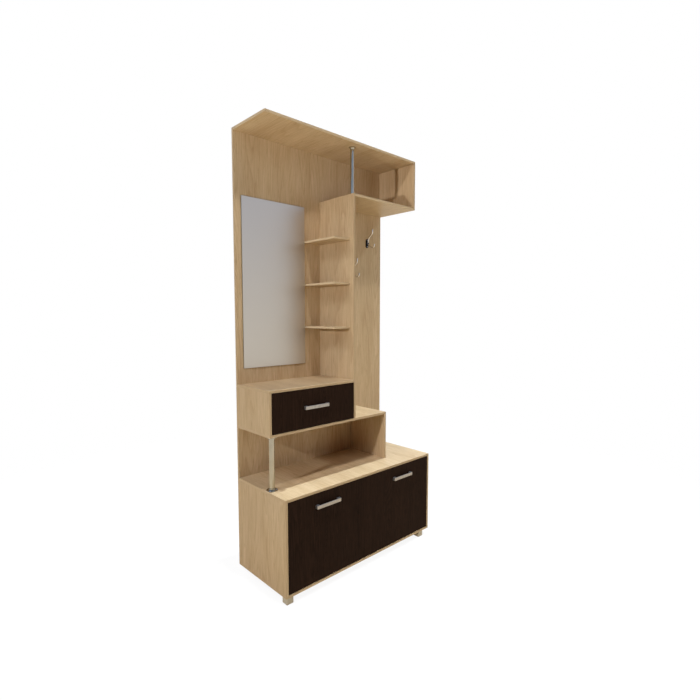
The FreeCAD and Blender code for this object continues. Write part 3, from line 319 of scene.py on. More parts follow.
@dataclass(frozen=True)
class PrintedBoard(Finish):
    """Chipboard under a printed wood foil: straight streaks, short pores, plainer strips on cut edges.

    A share tells how much of a pattern shows, and a pair of millimetres is a streak's width and length.
    """

    grain: Axis = Axis.Z
    thin: Axis = Axis.X
    pale: str = "#D3B893"
    middle: str = "#C7AB85"
    deep: str = "#B69771"
    pore: str = "#967650"
    strip: str = "#C4A884"
    pore_share: float = 0.3
    check_share: float = 0.45
    strip_share: float = 0.6
    tone_share: float = 0.46
    fibre_share: float = 0.5
    ring_share: float = 0.16
    tone_mm: tuple[float, float] = (95.0, 900.0)
    ring_field_mm: tuple[float, float] = (110.0, 1300.0)
    rings: float = 22.0
    ring_power: float = 3.0
    ring_end: float = 0.88
    # Figure values at which the print is deep, middle and pale
    tone_stops: tuple[float, float, float] = (0.315, 0.5, 0.665)
    # Noise values between which a pore or a check comes up in full
    pore_limits: tuple[float, float] = (0.56, 0.68)
    check_limits: tuple[float, float] = (0.63, 0.72)
    # How squarely a surface faces along the thin axis where the strip begins and where it is full
    strip_facing: tuple[float, float] = (0.9, 0.4)
    # Fibres and pores are drawn about three times as coarse as real ones, so that they show in the render
    fibre_mm: tuple[float, float] = (3.4, 150.0)
    pore_mm: tuple[float, float] = (1.6, 34.0)
    check_mm: tuple[float, float] = (4.0, 110.0)
    wander_mm: tuple[float, float] = (180.0, 500.0)
    wander_reach_mm: float = 16.0
    pore_depth_mm: float = 0.05
    fibre_relief: float = 0.4
    relief_strength: float = 0.5
    gloss_reach: float = 0.08

    def paint(self, tree: Tree, shader: bpy.types.Node) -> None:
        """Print the wood foil and its edge strips.

        Args:
            tree: the material's node tree.
            shader: the shader that the print feeds.
        """
        place = add_node(tree, "ShaderNodeTexCoord").outputs
        where = self.wandering(tree, place["Object"])
        tone, fibre, pore, check = (
            streaks(tree, where, self.grain, *size).outputs[0]
            for size in (self.tone_mm, self.fibre_mm, self.pore_mm, self.check_mm)
        )
        rings = self.ring_lines(tree, where)
        parts = [(tone, self.tone_share), (fibre, self.fibre_share), (rings, -self.ring_share)]
        figure = weigh(tree, parts, start=(1.0 - self.tone_share - self.fibre_share) / 2)
        foil = ramp(tree, figure, self.tone_stops, (self.deep, self.middle, self.pale))
        pores = rescale(tree, pore, self.pore_limits, (0.0, self.pore_share))
        checks = rescale(tree, check, self.check_limits, (0.0, self.check_share))
        marks = calculate(tree, "MAXIMUM", pores, checks)
        face = blend(tree, marks, foil, linear(self.pore))
        colour = blend(tree, self.strip_mask(tree, place["Normal"]), face, linear(self.strip))
        tree.links.new(colour, shader.inputs["Base Color"])
        self.vary_gloss(tree, shader, fibre, self.gloss_reach)
        height = weigh(tree, [(fibre, self.fibre_relief), (marks, -1.0)])
        self.emboss(tree, shader, height, self.relief_strength, self.pore_depth_mm)

    def wandering(self, tree: Tree, where: Socket) -> Socket:
        """Let the streaks wander a little from side to side.

        Args:
            tree: the material's node tree.
            where: coordinates in metres.

        Returns:
            The shifted coordinates.
        """
        drift = streaks(tree, where, self.grain, *self.wander_mm)
        reach = [self.wander_reach_mm * MM] * 3
        reach[self.grain.value] = 0.0
        inputs = {0: drift.outputs["Color"], 1: tuple(reach), 2: where}
        return add_node(tree, "ShaderNodeVectorMath", inputs, operation="MULTIPLY_ADD").outputs[0]

    def ring_lines(self, tree: Tree, where: Socket) -> Socket:
        """Draw the growth rings as nested lines, which close into arches here and there.

        Args:
            tree: the material's node tree.
            where: coordinates in metres.

        Returns:
            A value that rises through each year's ring and drops at its end.
        """
        hills = streaks(tree, where, self.grain, *self.ring_field_mm, detail=1.0).outputs[0]
        year = calculate(tree, "FRACT", calculate(tree, "MULTIPLY", hills, self.rings))
        rise = calculate(tree, "POWER", year, self.ring_power)
        ending = rescale(tree, year, (1.0, self.ring_end))
        return calculate(tree, "MULTIPLY", rise, ending)

    def strip_mask(self, tree: Tree, normal: Socket) -> Socket:
        """The edge strip's share of the colour, which is nothing on the board's two wide faces."""
        square = facing(tree, normal, self.thin)
        return rescale(tree, square, self.strip_facing, (0.0, self.strip_share))


@dataclass(frozen=True)
class Mottled(Finish):
    """A finish in soft patches of two near colours, with a fine grit.

    Edges may be rubbed paler, and a seat may have its own colour behind some place along +Y.
    """

    colour: str = "#808080"
    patch: str = "#848484"
    rubbed: str = ""
    rubbed_share: float = 0.5
    patch_mm: float = 12.0
    # Noise values of the first colour and of the second
    patch_limits: tuple[float, float] = (0.4, 0.6)
    grit_mm: float = 0.8
    grit_depth_mm: float = 0.01
    relief_strength: float = 0.3
    gloss_reach: float = 0.05
    along: Axis = Axis.Z
    stretch: float = 1.0
    seat: str = ""
    seat_from: float = 0.0

    def paint(self, tree: Tree, shader: bpy.types.Node) -> None:
        """Add the patches, the grit, the rubbed edges and the seat's own colour.

        Args:
            tree: the material's node tree.
            shader: the shader that they feed.
        """
        place = add_node(tree, "ShaderNodeTexCoord").outputs
        where = place["Object"]
        patches, grit = (
            streaks(tree, where, self.along, size, size * self.stretch).outputs[0]
            for size in (self.patch_mm, self.grit_mm)
        )
        colour = ramp(tree, patches, self.patch_limits, (self.colour, self.patch))
        if self.rubbed:
            share = calculate(tree, "MULTIPLY", rounded_edges(tree, place["Normal"]), self.rubbed_share)
            colour = blend(tree, share, colour, linear(self.rubbed))
        if self.seat:
            depth = add_node(tree, "ShaderNodeSeparateXYZ", {0: where}).outputs["Y"]
            behind = calculate(tree, "GREATER_THAN", depth, self.seat_from)
            colour = blend(tree, behind, colour, linear(self.seat))
        tree.links.new(colour, shader.inputs["Base Color"])
        self.vary_gloss(tree, shader, grit, self.gloss_reach)
        self.emboss(tree, shader, grit, self.relief_strength, self.grit_depth_mm)


@dataclass(frozen=True)
class SilveredGlass(Finish):
    """Float glass silvered at the back: a soft grey reflection, faint wiping marks, greenish cut edges."""

    face: str = "#C8C4BE"
    edge: str = "#A3B0A8"
    thin: Axis = Axis.Y
    wipe_mm: tuple[float, float] = (60.0, 420.0)
    wipe_reach: float = 0.02
    # How squarely a surface faces along the thin axis where it is cut edge and where it is face
    edge_facing: tuple[float, float] = (0.5, 0.9)

    def paint(self, tree: Tree, shader: bpy.types.Node) -> None:
        """Add the wiping marks and the green of the cut edges.

        Args:
            tree: the material's node tree.
            shader: the shader that they feed.
        """
        place = add_node(tree, "ShaderNodeTexCoord").outputs
        wipes = streaks(tree, place["Object"], Axis.X, *self.wipe_mm).outputs[0]
        self.vary_gloss(tree, shader, wipes, self.wipe_reach)
        square = facing(tree, place["Normal"], self.thin)
        colour = ramp(tree, square, self.edge_facing, (self.edge, self.face))
        tree.links.new(colour, shader.inputs["Base Color"])


class EdgeStrip(Enum):
    """A roll of edge strip, by its colour and its share of the edge's colour. The paler one is a painted
    highlight.
    """

    MATCHING = ("#C4A884", 0.6)
    # Paler than the matching strip: a painted highlight on the front edges of the high boards, where light
    # catches them
    PALE = ("#D4BA94", 0.8)

    def __init__(self, colour: str, share: float) -> None:
        """Keep the roll's colour and its share."""
        self.colour = colour
        self.share = share


def oak(grain: Axis, thin: Axis, strip: EdgeStrip = EdgeStrip.MATCHING) -> PrintedBoard:
    """Oak-printed laminate, pressed: pale straw brown, low contrast, a dull sheen."""
    name = f"oak_print_laminate_grain_{grain.name}_thin_{thin.name}_{strip.name.lower()}_strip"
    return PrintedBoard(name, roughness=0.42, specular=0.2, grain=grain, thin=thin,
                        strip=strip.colour, strip_share=strip.share)


# Wenge-printed laminate, pressed: almost black brown with faint lighter streaks and a dull sheen
WENGE = PrintedBoard("wenge_print_laminate", roughness=0.6, specular=0.03, grain=Axis.Z, thin=Axis.Y,
                     pale="#38261D", middle="#2D1E16", deep="#20150F", pore="#160E0A", strip="#2D1E16",
                     pore_share=0.6, tone_share=0.15, rings=60.0)
# Cast zinc, nickel lacquered: dull beige grey, about even from every side
SATIN_NICKEL = Mottled("satin_nickel_lacquered", roughness=0.45, metallic=0.9, colour="#ABA6A0",
                       patch="#B8B3AD", rubbed="#C6C0B8", patch_mm=9.0, grit_mm=0.9)
# Steel tube, chrome plated: sharp reflections with a slight haze
CHROME = Mottled("chrome_plated_steel", roughness=0.09, metallic=1.0, colour="#AEAA9C", patch="#B4B1A4",
                 patch_mm=40.0, gloss_reach=0.03, grit_depth_mm=0.002)
# Steel rod, bright chrome: cooler and paler than the posts, on a boss of black nickel against the plate
HOOK_CHROME = Mottled("chrome_bright_rod", roughness=0.08, metallic=1.0, colour="#D6D6D4", patch="#DDDDDB",
                      patch_mm=15.0, gloss_reach=0.03, grit_depth_mm=0.002, seat="#3A3A42")
# Steel plate, black enamel: deep black with a soft gloss, grey where edges are rubbed
BLACK_ENAMEL = Mottled("black_enamelled_steel", roughness=0.45, specular=0.15, colour="#141210",
                       patch="#191614", rubbed="#45423F", rubbed_share=0.3, patch_mm=9.0)
# Styrene foot, moulded in a beige grey: fine spark-eroded grain
FOOT_PLASTIC = Mottled("beige_styrene_moulded", roughness=0.42, colour="#BFB29B", patch="#C5B9A4",
                       rubbed="#CFC5B3", rubbed_share=0.3, patch_mm=14.0, grit_mm=0.9, grit_depth_mm=0.03)
# Mild steel, zinc plated: bluish grey with a dull spangle
ZINC = Mottled("zinc_plated_steel", roughness=0.32, metallic=1.0, colour="#A9ADB2", patch="#B9BCBF",
               rubbed="#D2D3D4", patch_mm=3.0)
# Rolled steel, white epoxy powder coat: faint orange peel
POWDER_COAT = Mottled("white_powder_coat", roughness=0.38, colour="#E4E3DF", patch="#E9E8E4",
                      rubbed="#C9C9C6", rubbed_share=0.4, patch_mm=20.0, grit_mm=1.2, grit_depth_mm=0.03)
# Nylon 6, injection moulded, natural: milky white with a waxy sheen
NYLON = Mottled("natural_nylon_moulded", roughness=0.45, colour="#E6E4DC", patch="#EDEBE4", patch_mm=6.0)
# Polyethylene foam tape: chalky off-white, open cells
FOAM = Mottled("foam_mounting_tape", roughness=0.9, specular=0.2, colour="#DDDCD6", patch="#E6E5E0",
               patch_mm=2.0, grit_mm=0.8, grit_depth_mm=0.15)
# Wood fibres pressed hard with one smooth side: mid brown, speckled
HARDBOARD = Mottled("hardboard_pressed", roughness=0.6, colour="#A5835C", patch="#B3916A", patch_mm=2.5,
                    grit_mm=1.0, grit_depth_mm=0.05)
# Beech, turned and fluted: pale pinkish brown with fine streaks
BEECH = Mottled("beech_turned", roughness=0.55, specular=0.35, colour="#C9A57B", patch="#D5B48D",
                patch_mm=1.5, stretch=6.0, grit_mm=0.7)
MIRROR = SilveredGlass("silvered_float_glass", roughness=0.36, metallic=1.0)


def dress(finish: Finish, nodes: Iterable[str]) -> list[str]:
    """Give frame nodes a finish through their objects' material slots.

    Args:
        finish: the finish.
        nodes: names of the nodes.

    Returns:
        The names of what was dressed.
    """
    dressed = list(nodes)
    for name in dressed:
        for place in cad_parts[name].material_slots:
            place.material = finish.material()
    return dressed


@dataclass
class Carcass:
    """The boards that stand still, with their feet and the brackets that hold them to the wall."""

    upright_panels: tuple[str, ...] = (
        "base_left_side", "base_right_side", "niche_right_panel", "drawer_case_left_side",
        "drawer_case_right_side", "divider_panel", "hat_box_side",
    )
    lying_boards: tuple[str, ...] = ("base_bottom", "base_top", "niche_top_board", "drawer_case_top")
    high_boards: tuple[str, ...] = (
        "hat_shelf", "top_board", "display_shelf_1", "display_shelf_2", "display_shelf_3",
    )

    def build(self) -> list[str]:
        """Dress the boards, feet and brackets.

        Returns:
            Their names.
        """
        return [
            *dress(oak(Axis.Z, Axis.Y), ["back_board"]),
            *dress(oak(Axis.Z, Axis.X), self.upright_panels),
            *dress(oak(Axis.Y, Axis.Z), self.lying_boards),
            # Painted highlight: the high boards' front edges get the paler strip, drawn as more lit than the
            # lower boards' edges
            *dress(oak(Axis.Y, Axis.Z, EdgeStrip.PALE), self.high_boards),
            *dress(FOOT_PLASTIC, ["feet"]),
            *dress(ZINC, ["wall_brackets"]),
        ]


@dataclass
class Mirror:
    """The frameless mirror and the tape that holds it."""

    def build(self) -> list[str]:
        """Dress the glass and the tape, and return their names."""
        return [*dress(MIRROR, ["mirror_glass"]), *dress(FOAM, ["mirror_tape"])]


@dataclass
class Posts:
    """The two chromed posts and their flanges."""

    heights: tuple[str, ...] = ("lower", "upper")

    def build(self) -> list[str]:
        """Dress tubes and flanges, and return their names."""
        pieces = [f"{height}_post_{piece}" for height in self.heights for piece in ("tube", "flanges")]
        return dress(CHROME, pieces)


@dataclass
class CoatHooks:
    """Two double hooks on black plates, each with a dark boss where its prongs meet the plate."""

    boss_thickness: float = 5.0 * MM
    boss_margin: float = 0.2 * MM

    def build(self) -> list[str]:
        """Dress plates and prongs.

        Returns:
            Their names.
        """
        plate_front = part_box("coat_hook_plates")[0][Axis.Y.value]
        boss_front = plate_front - self.boss_thickness - self.boss_margin
        chrome = replace(HOOK_CHROME, seat_from=boss_front)
        return [*dress(BLACK_ENAMEL, ["coat_hook_plates"]), *dress(chrome, ["coat_hook_prongs"])]


@dataclass
class Drawer:
    """The drawer, its handle, and the runners and rollers that carry it."""

    sides: tuple[str, ...] = ("left", "right")

    def build(self) -> list[str]:
        """Dress the drawer box and its running gear.

        Returns:
            Their names.
        """
        runners = [f"{owner}_runner_{side}" for owner in ("case", "drawer") for side in self.sides]
        rollers = [f"{owner}_roller_{side}" for owner in ("case", "drawer") for side in self.sides]
        return [
            *dress(WENGE, ["drawer_front"]),
            *dress(oak(Axis.Y, Axis.X), [f"drawer_{side}_side" for side in self.sides]),
            *dress(oak(Axis.X, Axis.Y), ["drawer_back"]),
            *dress(HARDBOARD, ["drawer_floor"]),
            *dress(SATIN_NICKEL, ["drawer_handle"]),
            *dress(POWDER_COAT, runners),
            *dress(NYLON, rollers),
        ]


@dataclass
class ShoeFlap:
    """The tilting front, its two handles, the bin that it carries and its pivots."""

    sides: tuple[str, ...] = ("left", "right")

    def build(self) -> list[str]:
        """Dress the flap and its bin.

        Returns:
            Their names.
        """
        return [
            *dress(WENGE, ["flap_front"]),
            *dress(SATIN_NICKEL, [f"flap_handle_{side}" for side in self.sides]),
            *dress(POWDER_COAT, [f"flap_cheek_{side}" for side in self.sides]),
            *dress(oak(Axis.X, Axis.Z), ["shoe_tray_lower", "shoe_tray_upper"]),
            *dress(ZINC, ["flap_pivot_pins", "flap_stop_pins"]),
            *dress(NYLON, ["pivot_bushes"]),
        ]


@dataclass(frozen=True)
class Pin:
    """One screw or dowel as it is on the frame: the middle of its outer end, its direction and its sizes."""

    start: Vector
    direction: Vector
    length: float
    crown: float
    head: float
    seat: float
    shank: float

    def sizes(self) -> tuple[float, ...]:
        """The sizes that pins of one kind share, to a hundredth of a millimetre."""
        sizes = (self.length, self.crown, self.head, self.seat, self.shank)
        return tuple(round(size, PLACES) for size in sizes)


def solids_of(node: str) -> list[list[Vector]]:
    """Split a frame node into its separate solids.

    Args:
        node: the node's name.

    Returns:
        The corners of each solid.
    """
    merged = bmesh.new()
    merged.from_mesh(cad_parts[node].data)
    bmesh.ops.remove_doubles(merged, verts=merged.verts, dist=SAME)
    merged.verts.index_update()
    seen = [False] * len(merged.verts)
    solids = []
    for first in merged.verts:
        if seen[first.index]:
            continue
        seen[first.index] = True
        waiting = [first]
        corners = []
        while waiting:
            corner = waiting.pop()
            corners.append(corner.co.copy())
            for edge in corner.link_edges:
                other = edge.other_vert(corner)
                if not seen[other.index]:
                    seen[other.index] = True
                    waiting.append(other)
        solids.append(corners)
    merged.free()
    return solids


def measure_pin(corners: list[Vector]) -> Pin:
    """Find a screw's or dowel's place, direction and sizes from its corners.

    Args:
        corners: the corners of one solid, which is round about one of the frame's axes.

    Returns:
        The pin, which starts at its wider end.
    """
    low = Vector([min(corner[axis] for corner in corners) for axis in range(3)])
    high = Vector([max(corner[axis] for corner in corners) for axis in range(3)])
    along = max(range(3), key=lambda axis: high[axis] - low[axis])
    direction = Vector([float(axis == along) for axis in range(3)])
    middle = (low + high) / 2.0
    half = (high - low)[along] / 2.0

    def radius(corner: Vector) -> float:
        """Distance of a corner from the pin's axis."""
        offset = corner - middle
        return (offset - direction * offset.dot(direction)).length

    ends = [max(radius(corner) for corner in corners if abs(corner[along] - end) < NEAR)
            for end in (low[along], high[along])]
    if ends[1] > ends[0]:
        direction = -direction
    start = middle - direction * half
    rings: dict[float, float] = {}
    for corner in corners:
        depth = round((corner - start).dot(direction), PLACES)
        rings[depth] = max(rings.get(depth, 0.0), radius(corner))
    depths = sorted(rings)
    shank = rings[depths[-1]]
    wide = [depth for depth in depths if rings[depth] > shank + NEAR]
    tapered = [depth for depth in depths[:-1] if wide and depth > wide[-1]]
    head = (tapered or wide[-1:] or depths)[0]
    return Pin(start, direction, length=2.0 * half, crown=2.0 * rings[depths[0]], head=head,
               seat=2.0 * rings[head], shank=2.0 * shank)


@dataclass
class Recipe:
    """A Geometry Nodes tree that sets one shape at many places, each with its own direction."""

    name: str
    sizes: tuple[str, ...]
    sharp_degrees: float = 55.0
    match_tolerance: float = 0.1
    tree: Tree = field(init=False)
    source: bpy.types.Node = field(init=False)

    def __post_init__(self) -> None:
        """Make the tree with its named inputs, then its shape and its placing."""
        self.tree = bpy.data.node_groups.new(self.name, "GeometryNodeTree")
        sockets = self.tree.interface
        sockets.new_socket("Places", in_out="INPUT", socket_type="NodeSocketGeometry")
        for size in self.sizes:
            sockets.new_socket(size, in_out="INPUT", socket_type="NodeSocketFloat")
        sockets.new_socket("Finish", in_out="INPUT", socket_type="NodeSocketMaterial")
        sockets.new_socket("Shape", in_out="OUTPUT", socket_type="NodeSocketGeometry")
        self.source = add_node(self.tree, "NodeGroupInput")
        self.set_out(self.shape())

    def shape(self) -> Socket:
        """Make one shape that starts at the origin and points along +Z."""
        raise NotImplementedError

    def size(self, name: str) -> Socket:
        """The socket of one of the tree's sizes."""
        return self.source.outputs[name]

    def node(self, kind: str, inputs: dict[str | int, Any] | None = None, **settings: Any) -> Socket:
        """The first output of a new node."""
        return add_node(self.tree, kind, inputs, **settings).outputs[0]

    def math(self, operation: str, *values: Socket | float) -> Socket:
        """The result of one sum on sizes."""
        return calculate(self.tree, operation, *values)

    def matches(self, number: Socket, other: Socket | float) -> Socket:
        """1 where two whole numbers are the same, 0 elsewhere."""
        return self.math("COMPARE", number, other, self.match_tolerance)

    def lifted(self, height: Socket | float) -> Socket:
        """A vector of that height along +Z."""
        return self.node("ShaderNodeCombineXYZ", {"Z": height})

    def set_out(self, shape: Socket) -> None:
        """Put the shape at every place, turned to its direction, as one mesh with the finish.

        Args:
            shape: the shape to repeat. Its steep edges are shaded sharp.
        """
        bend = self.node("GeometryNodeInputMeshEdgeAngle")
        steep = self.math("GREATER_THAN", bend, math.radians(self.sharp_degrees))
        inputs = {"Geometry": shape, "Selection": steep, "Shade Smooth": False}
        shape = self.node("GeometryNodeSetShadeSmooth", inputs, domain="EDGE")
        aim = self.node("GeometryNodeInputNamedAttribute", {"Name": DIRECTION}, data_type="FLOAT_VECTOR")
        turn = self.node("FunctionNodeAlignRotationToVector", {"Vector": aim}, axis="Z")
        inputs = {"Points": self.source.outputs["Places"], "Instance": shape, "Rotation": turn}
        copies = self.node("GeometryNodeInstanceOnPoints", inputs)
        whole = self.node("GeometryNodeRealizeInstances", {"Geometry": copies})
        inputs = {"Geometry": whole, "Material": self.source.outputs["Finish"]}
        dressed = self.node("GeometryNodeSetMaterial", inputs)
        add_node(self.tree, "NodeGroupOutput", {"Shape": dressed})

    def grow(self, pins: list[Pin], sizes: dict[str, float], finish: Finish) -> bpy.types.Mesh:
        """Make the shapes at some places as a plain mesh.

        Args:
            pins: where the shapes start and point.
            sizes: a value for each named size.
            finish: the finish of the shapes.

        Returns:
            One mesh with all of them.
        """
        seeds = bpy.data.meshes.new(self.name)
        seeds.from_pydata([pin.start for pin in pins], [], [])
        aims = seeds.attributes.new(DIRECTION, "FLOAT_VECTOR", "POINT")
        for aim, pin in zip(aims.data, pins):
            aim.vector = pin.direction
        carrier = into_scene(self.name, seeds)
        modifier = carrier.modifiers.new(self.name, "NODES")
        modifier.node_group = self.tree
        values = {**sizes, "Finish": finish.material()}
        for item in self.tree.interface.items_tree:
            if item.name in values:
                modifier[item.identifier] = values[item.name]
        graph = bpy.context.evaluated_depsgraph_get()
        grown = bpy.data.meshes.new_from_object(carrier.evaluated_get(graph), depsgraph=graph)
        carrier.modifiers.remove(modifier)
        bpy.data.objects.remove(carrier)
        bpy.data.meshes.remove(seeds)
        return grown


@dataclass
class ScrewRecipe(Recipe):
    """A screw with a crossed recess in its head, a rolled thread and a point, as one closed skin."""

    name: str = "cross_recess_screw"
    sizes: tuple[str, ...] = ("Length", "Crown", "Head", "Seat", "Shank", "Pitch")
    spokes: int = 16
    rings_per_turn: int = 4
    core_share: float = 0.74
    point_share: float = 0.9
    tip_share: float = 0.12
    recess_arms: int = 4
    recess_arm_power: float = 2.0
    recess_span_share: float = 0.6
    recess_waist_share: float = 0.16
    recess_floor_share: float = 0.6
    recess_depth_share: float = 0.6
    # Number of the ring at the neck, after those of the recess's floor and mouth, the crown and the seat
    rings_to_neck: int = 4

    def shape(self) -> Socket:
        """Pull a tube, ring by ring, into recess, head, thread and point.

        Returns:
            The screw.
        """
        point = self.math("MULTIPLY", self.size("Shank"), self.point_share)
        rise = self.math("SUBTRACT", self.math("SUBTRACT", self.size("Length"), point), self.size("Head"))
        turns = self.math("DIVIDE", rise, self.size("Pitch"))
        thread_rings = self.math("CEIL", self.math("MULTIPLY", turns, self.rings_per_turn))
        last = self.math("ADD", thread_rings, self.rings_to_neck + 1.0)
        line = self.node("GeometryNodeCurvePrimitiveLine", {"End": self.lifted(last)})
        inputs = {"Curve": line, "Count": self.math("ADD", last, 1.0)}
        line = self.node("GeometryNodeResampleCurve", inputs)
        inputs = {"Resolution": self.spokes, "Radius": 1.0}
        profile = self.node("GeometryNodeCurvePrimitiveCircle", inputs)
        inputs = {"Curve": line, "Profile Curve": profile, "Fill Caps": True}
        tube = self.node("GeometryNodeCurveToMesh", inputs)
        inputs = {"Geometry": tube, "Position": self.skin(rise, thread_rings, last)}
        return self.node("GeometryNodeSetPosition", inputs)

    def skin(self, rise: Socket, thread_rings: Socket, last: Socket) -> Socket:
        """Work out where each point of the tube goes, from its ring's number and its angle.

        Args:
            rise: the thread's length.
            thread_rings: how many rings the thread has.
            last: the number of the last ring, at the tip.

        Returns:
            The points' places on the screw.
        """
        place = self.node("GeometryNodeInputPosition")
        parts = add_node(self.tree, "ShaderNodeSeparateXYZ", {0: place}).outputs
        ring = self.math("ROUND", parts["Z"])
        angle = self.math("ARCTAN2", parts["Y"], parts["X"])
        head = self.size("Head")
        core = self.math("MULTIPLY", self.size("Shank"), 0.5 * self.core_share)
        crown = self.math("MULTIPLY", self.size("Crown"), 0.5)
        seat = self.math("MULTIPLY", self.size("Seat"), 0.5)
        mouth = self.recess_mouth(crown, angle)
        floor = self.math("MULTIPLY", mouth, self.recess_floor_share)
        depth = self.math("MULTIPLY", head, self.recess_depth_share)
        radius = self.by_ring(ring, [floor, mouth, crown, seat, core])
        height = self.by_ring(ring, [depth, 0.0, 0.0, head, head])
        step = self.math("DIVIDE", self.math("SUBTRACT", ring, float(self.rings_to_neck)), thread_rings)
        thread_height = self.math("MULTIPLY_ADD", step, rise, head)
        past_neck = self.math("GREATER_THAN", ring, float(self.rings_to_neck))
        in_thread = self.math("MULTIPLY", past_neck, self.math("LESS_THAN", ring, last))
        radius = self.math("MULTIPLY_ADD", in_thread, self.thread_radius(core, thread_height, angle), radius)
        height = self.math("MULTIPLY_ADD", in_thread, thread_height, height)
        is_tip = self.matches(ring, last)
        radius = self.math("MULTIPLY_ADD", is_tip, self.math("MULTIPLY", core, self.tip_share), radius)
        height = self.math("MULTIPLY_ADD", is_tip, self.size("Length"), height)
        x, y = (self.math("MULTIPLY", radius, parts[axis]) for axis in ("X", "Y"))
        return self.node("ShaderNodeCombineXYZ", {"X": x, "Y": y, "Z": height})

    def by_ring(self, ring: Socket, values: Iterable[Socket | float]) -> Socket:
        """Pick the value of a ring's own number.

        Args:
            ring: the ring's number.
            values: a value for each of the first rings.

        Returns:
            The ring's value, or 0 for a ring past the list's end.
        """
        picked: Socket | float = 0.0
        for number, value in enumerate(values):
            picked = self.math("MULTIPLY_ADD", self.matches(ring, float(number)), value, picked)
        return picked

    def wave(self, angle: Socket) -> Socket:
        """A wave between 0 and 1 that is highest where the angle is a full turn."""
        return self.math("MULTIPLY_ADD", self.math("COSINE", angle), 0.5, 0.5)

    def recess_mouth(self, crown: Socket, angle: Socket) -> Socket:
        """The recess's radius, which swells into its arms.

        Args:
            crown: the head's radius at its top.
            angle: the angle about the screw's axis.

        Returns:
            The radius at that angle.
        """
        wave = self.wave(self.math("MULTIPLY", angle, float(self.recess_arms)))
        arms = self.math("POWER", wave, self.recess_arm_power)
        reach = self.recess_span_share - self.recess_waist_share
        share = self.math("MULTIPLY_ADD", arms, reach, self.recess_waist_share)
        return self.math("MULTIPLY", crown, share)

    def thread_radius(self, core: Socket, height: Socket, angle: Socket) -> Socket:
        """The thread's radius, which winds up by one pitch a turn.

        Args:
            core: the radius between the ridges.
            height: the depth along the screw.
            angle: the angle about the screw's axis.

        Returns:
            The radius there.
        """
        turned = self.math("MULTIPLY", self.math("DIVIDE", height, self.size("Pitch")), 2.0 * math.pi)
        share = self.wave(self.math("SUBTRACT", turned, angle))
        ridge = self.math("SUBTRACT", self.math("MULTIPLY", self.size("Shank"), 0.5), core)
        return self.math("MULTIPLY_ADD", share, ridge, core)


@dataclass
class DowelRecipe(Recipe):
    """A peg with glue flutes along it and chamfered ends."""

    name: str = "fluted_dowel"
    sizes: tuple[str, ...] = ("Length", "Shank", "Chamfer")
    # A ring at each end, and one where each chamfer ends
    rings: int = 4
    flutes: int = 12
    flute_share: float = 0.9
    end_share: float = 0.78

    def shape(self) -> Socket:
        """Draw the fluted section along the peg.

        Returns:
            The peg.
        """
        inputs = {"End": self.lifted(self.size("Length"))}
        line = self.node("GeometryNodeCurvePrimitiveLine", inputs)
        line = self.node("GeometryNodeResampleCurve", {"Curve": line, "Count": self.rings})
        index = self.node("GeometryNodeInputIndex")
        is_second, is_third = (self.matches(index, number) for number in (1.0, 2.0))
        side = self.math("SUBTRACT", is_second, is_third)
        step = self.math("DIVIDE", self.size("Length"), self.rings - 1.0)
        shift = self.math("MULTIPLY", side, self.math("SUBTRACT", self.size("Chamfer"), step))
        inputs = {"Geometry": line, "Offset": self.lifted(shift)}
        line = self.node("GeometryNodeSetPosition", inputs)
        inner = self.math("ADD", is_second, is_third)
        width = self.math("MULTIPLY_ADD", inner, 1.0 - self.end_share, self.end_share)
        radius = self.math("MULTIPLY", self.size("Shank"), 0.5)
        valley = self.math("MULTIPLY", radius, self.flute_share)
        inputs = {"Points": self.flutes, "Inner Radius": valley, "Outer Radius": radius}
        profile = self.node("GeometryNodeCurveStar", inputs)
        inputs = {"Curve": line, "Profile Curve": profile, "Scale": width, "Fill Caps": True}
        return self.node("GeometryNodeCurveToMesh", inputs)


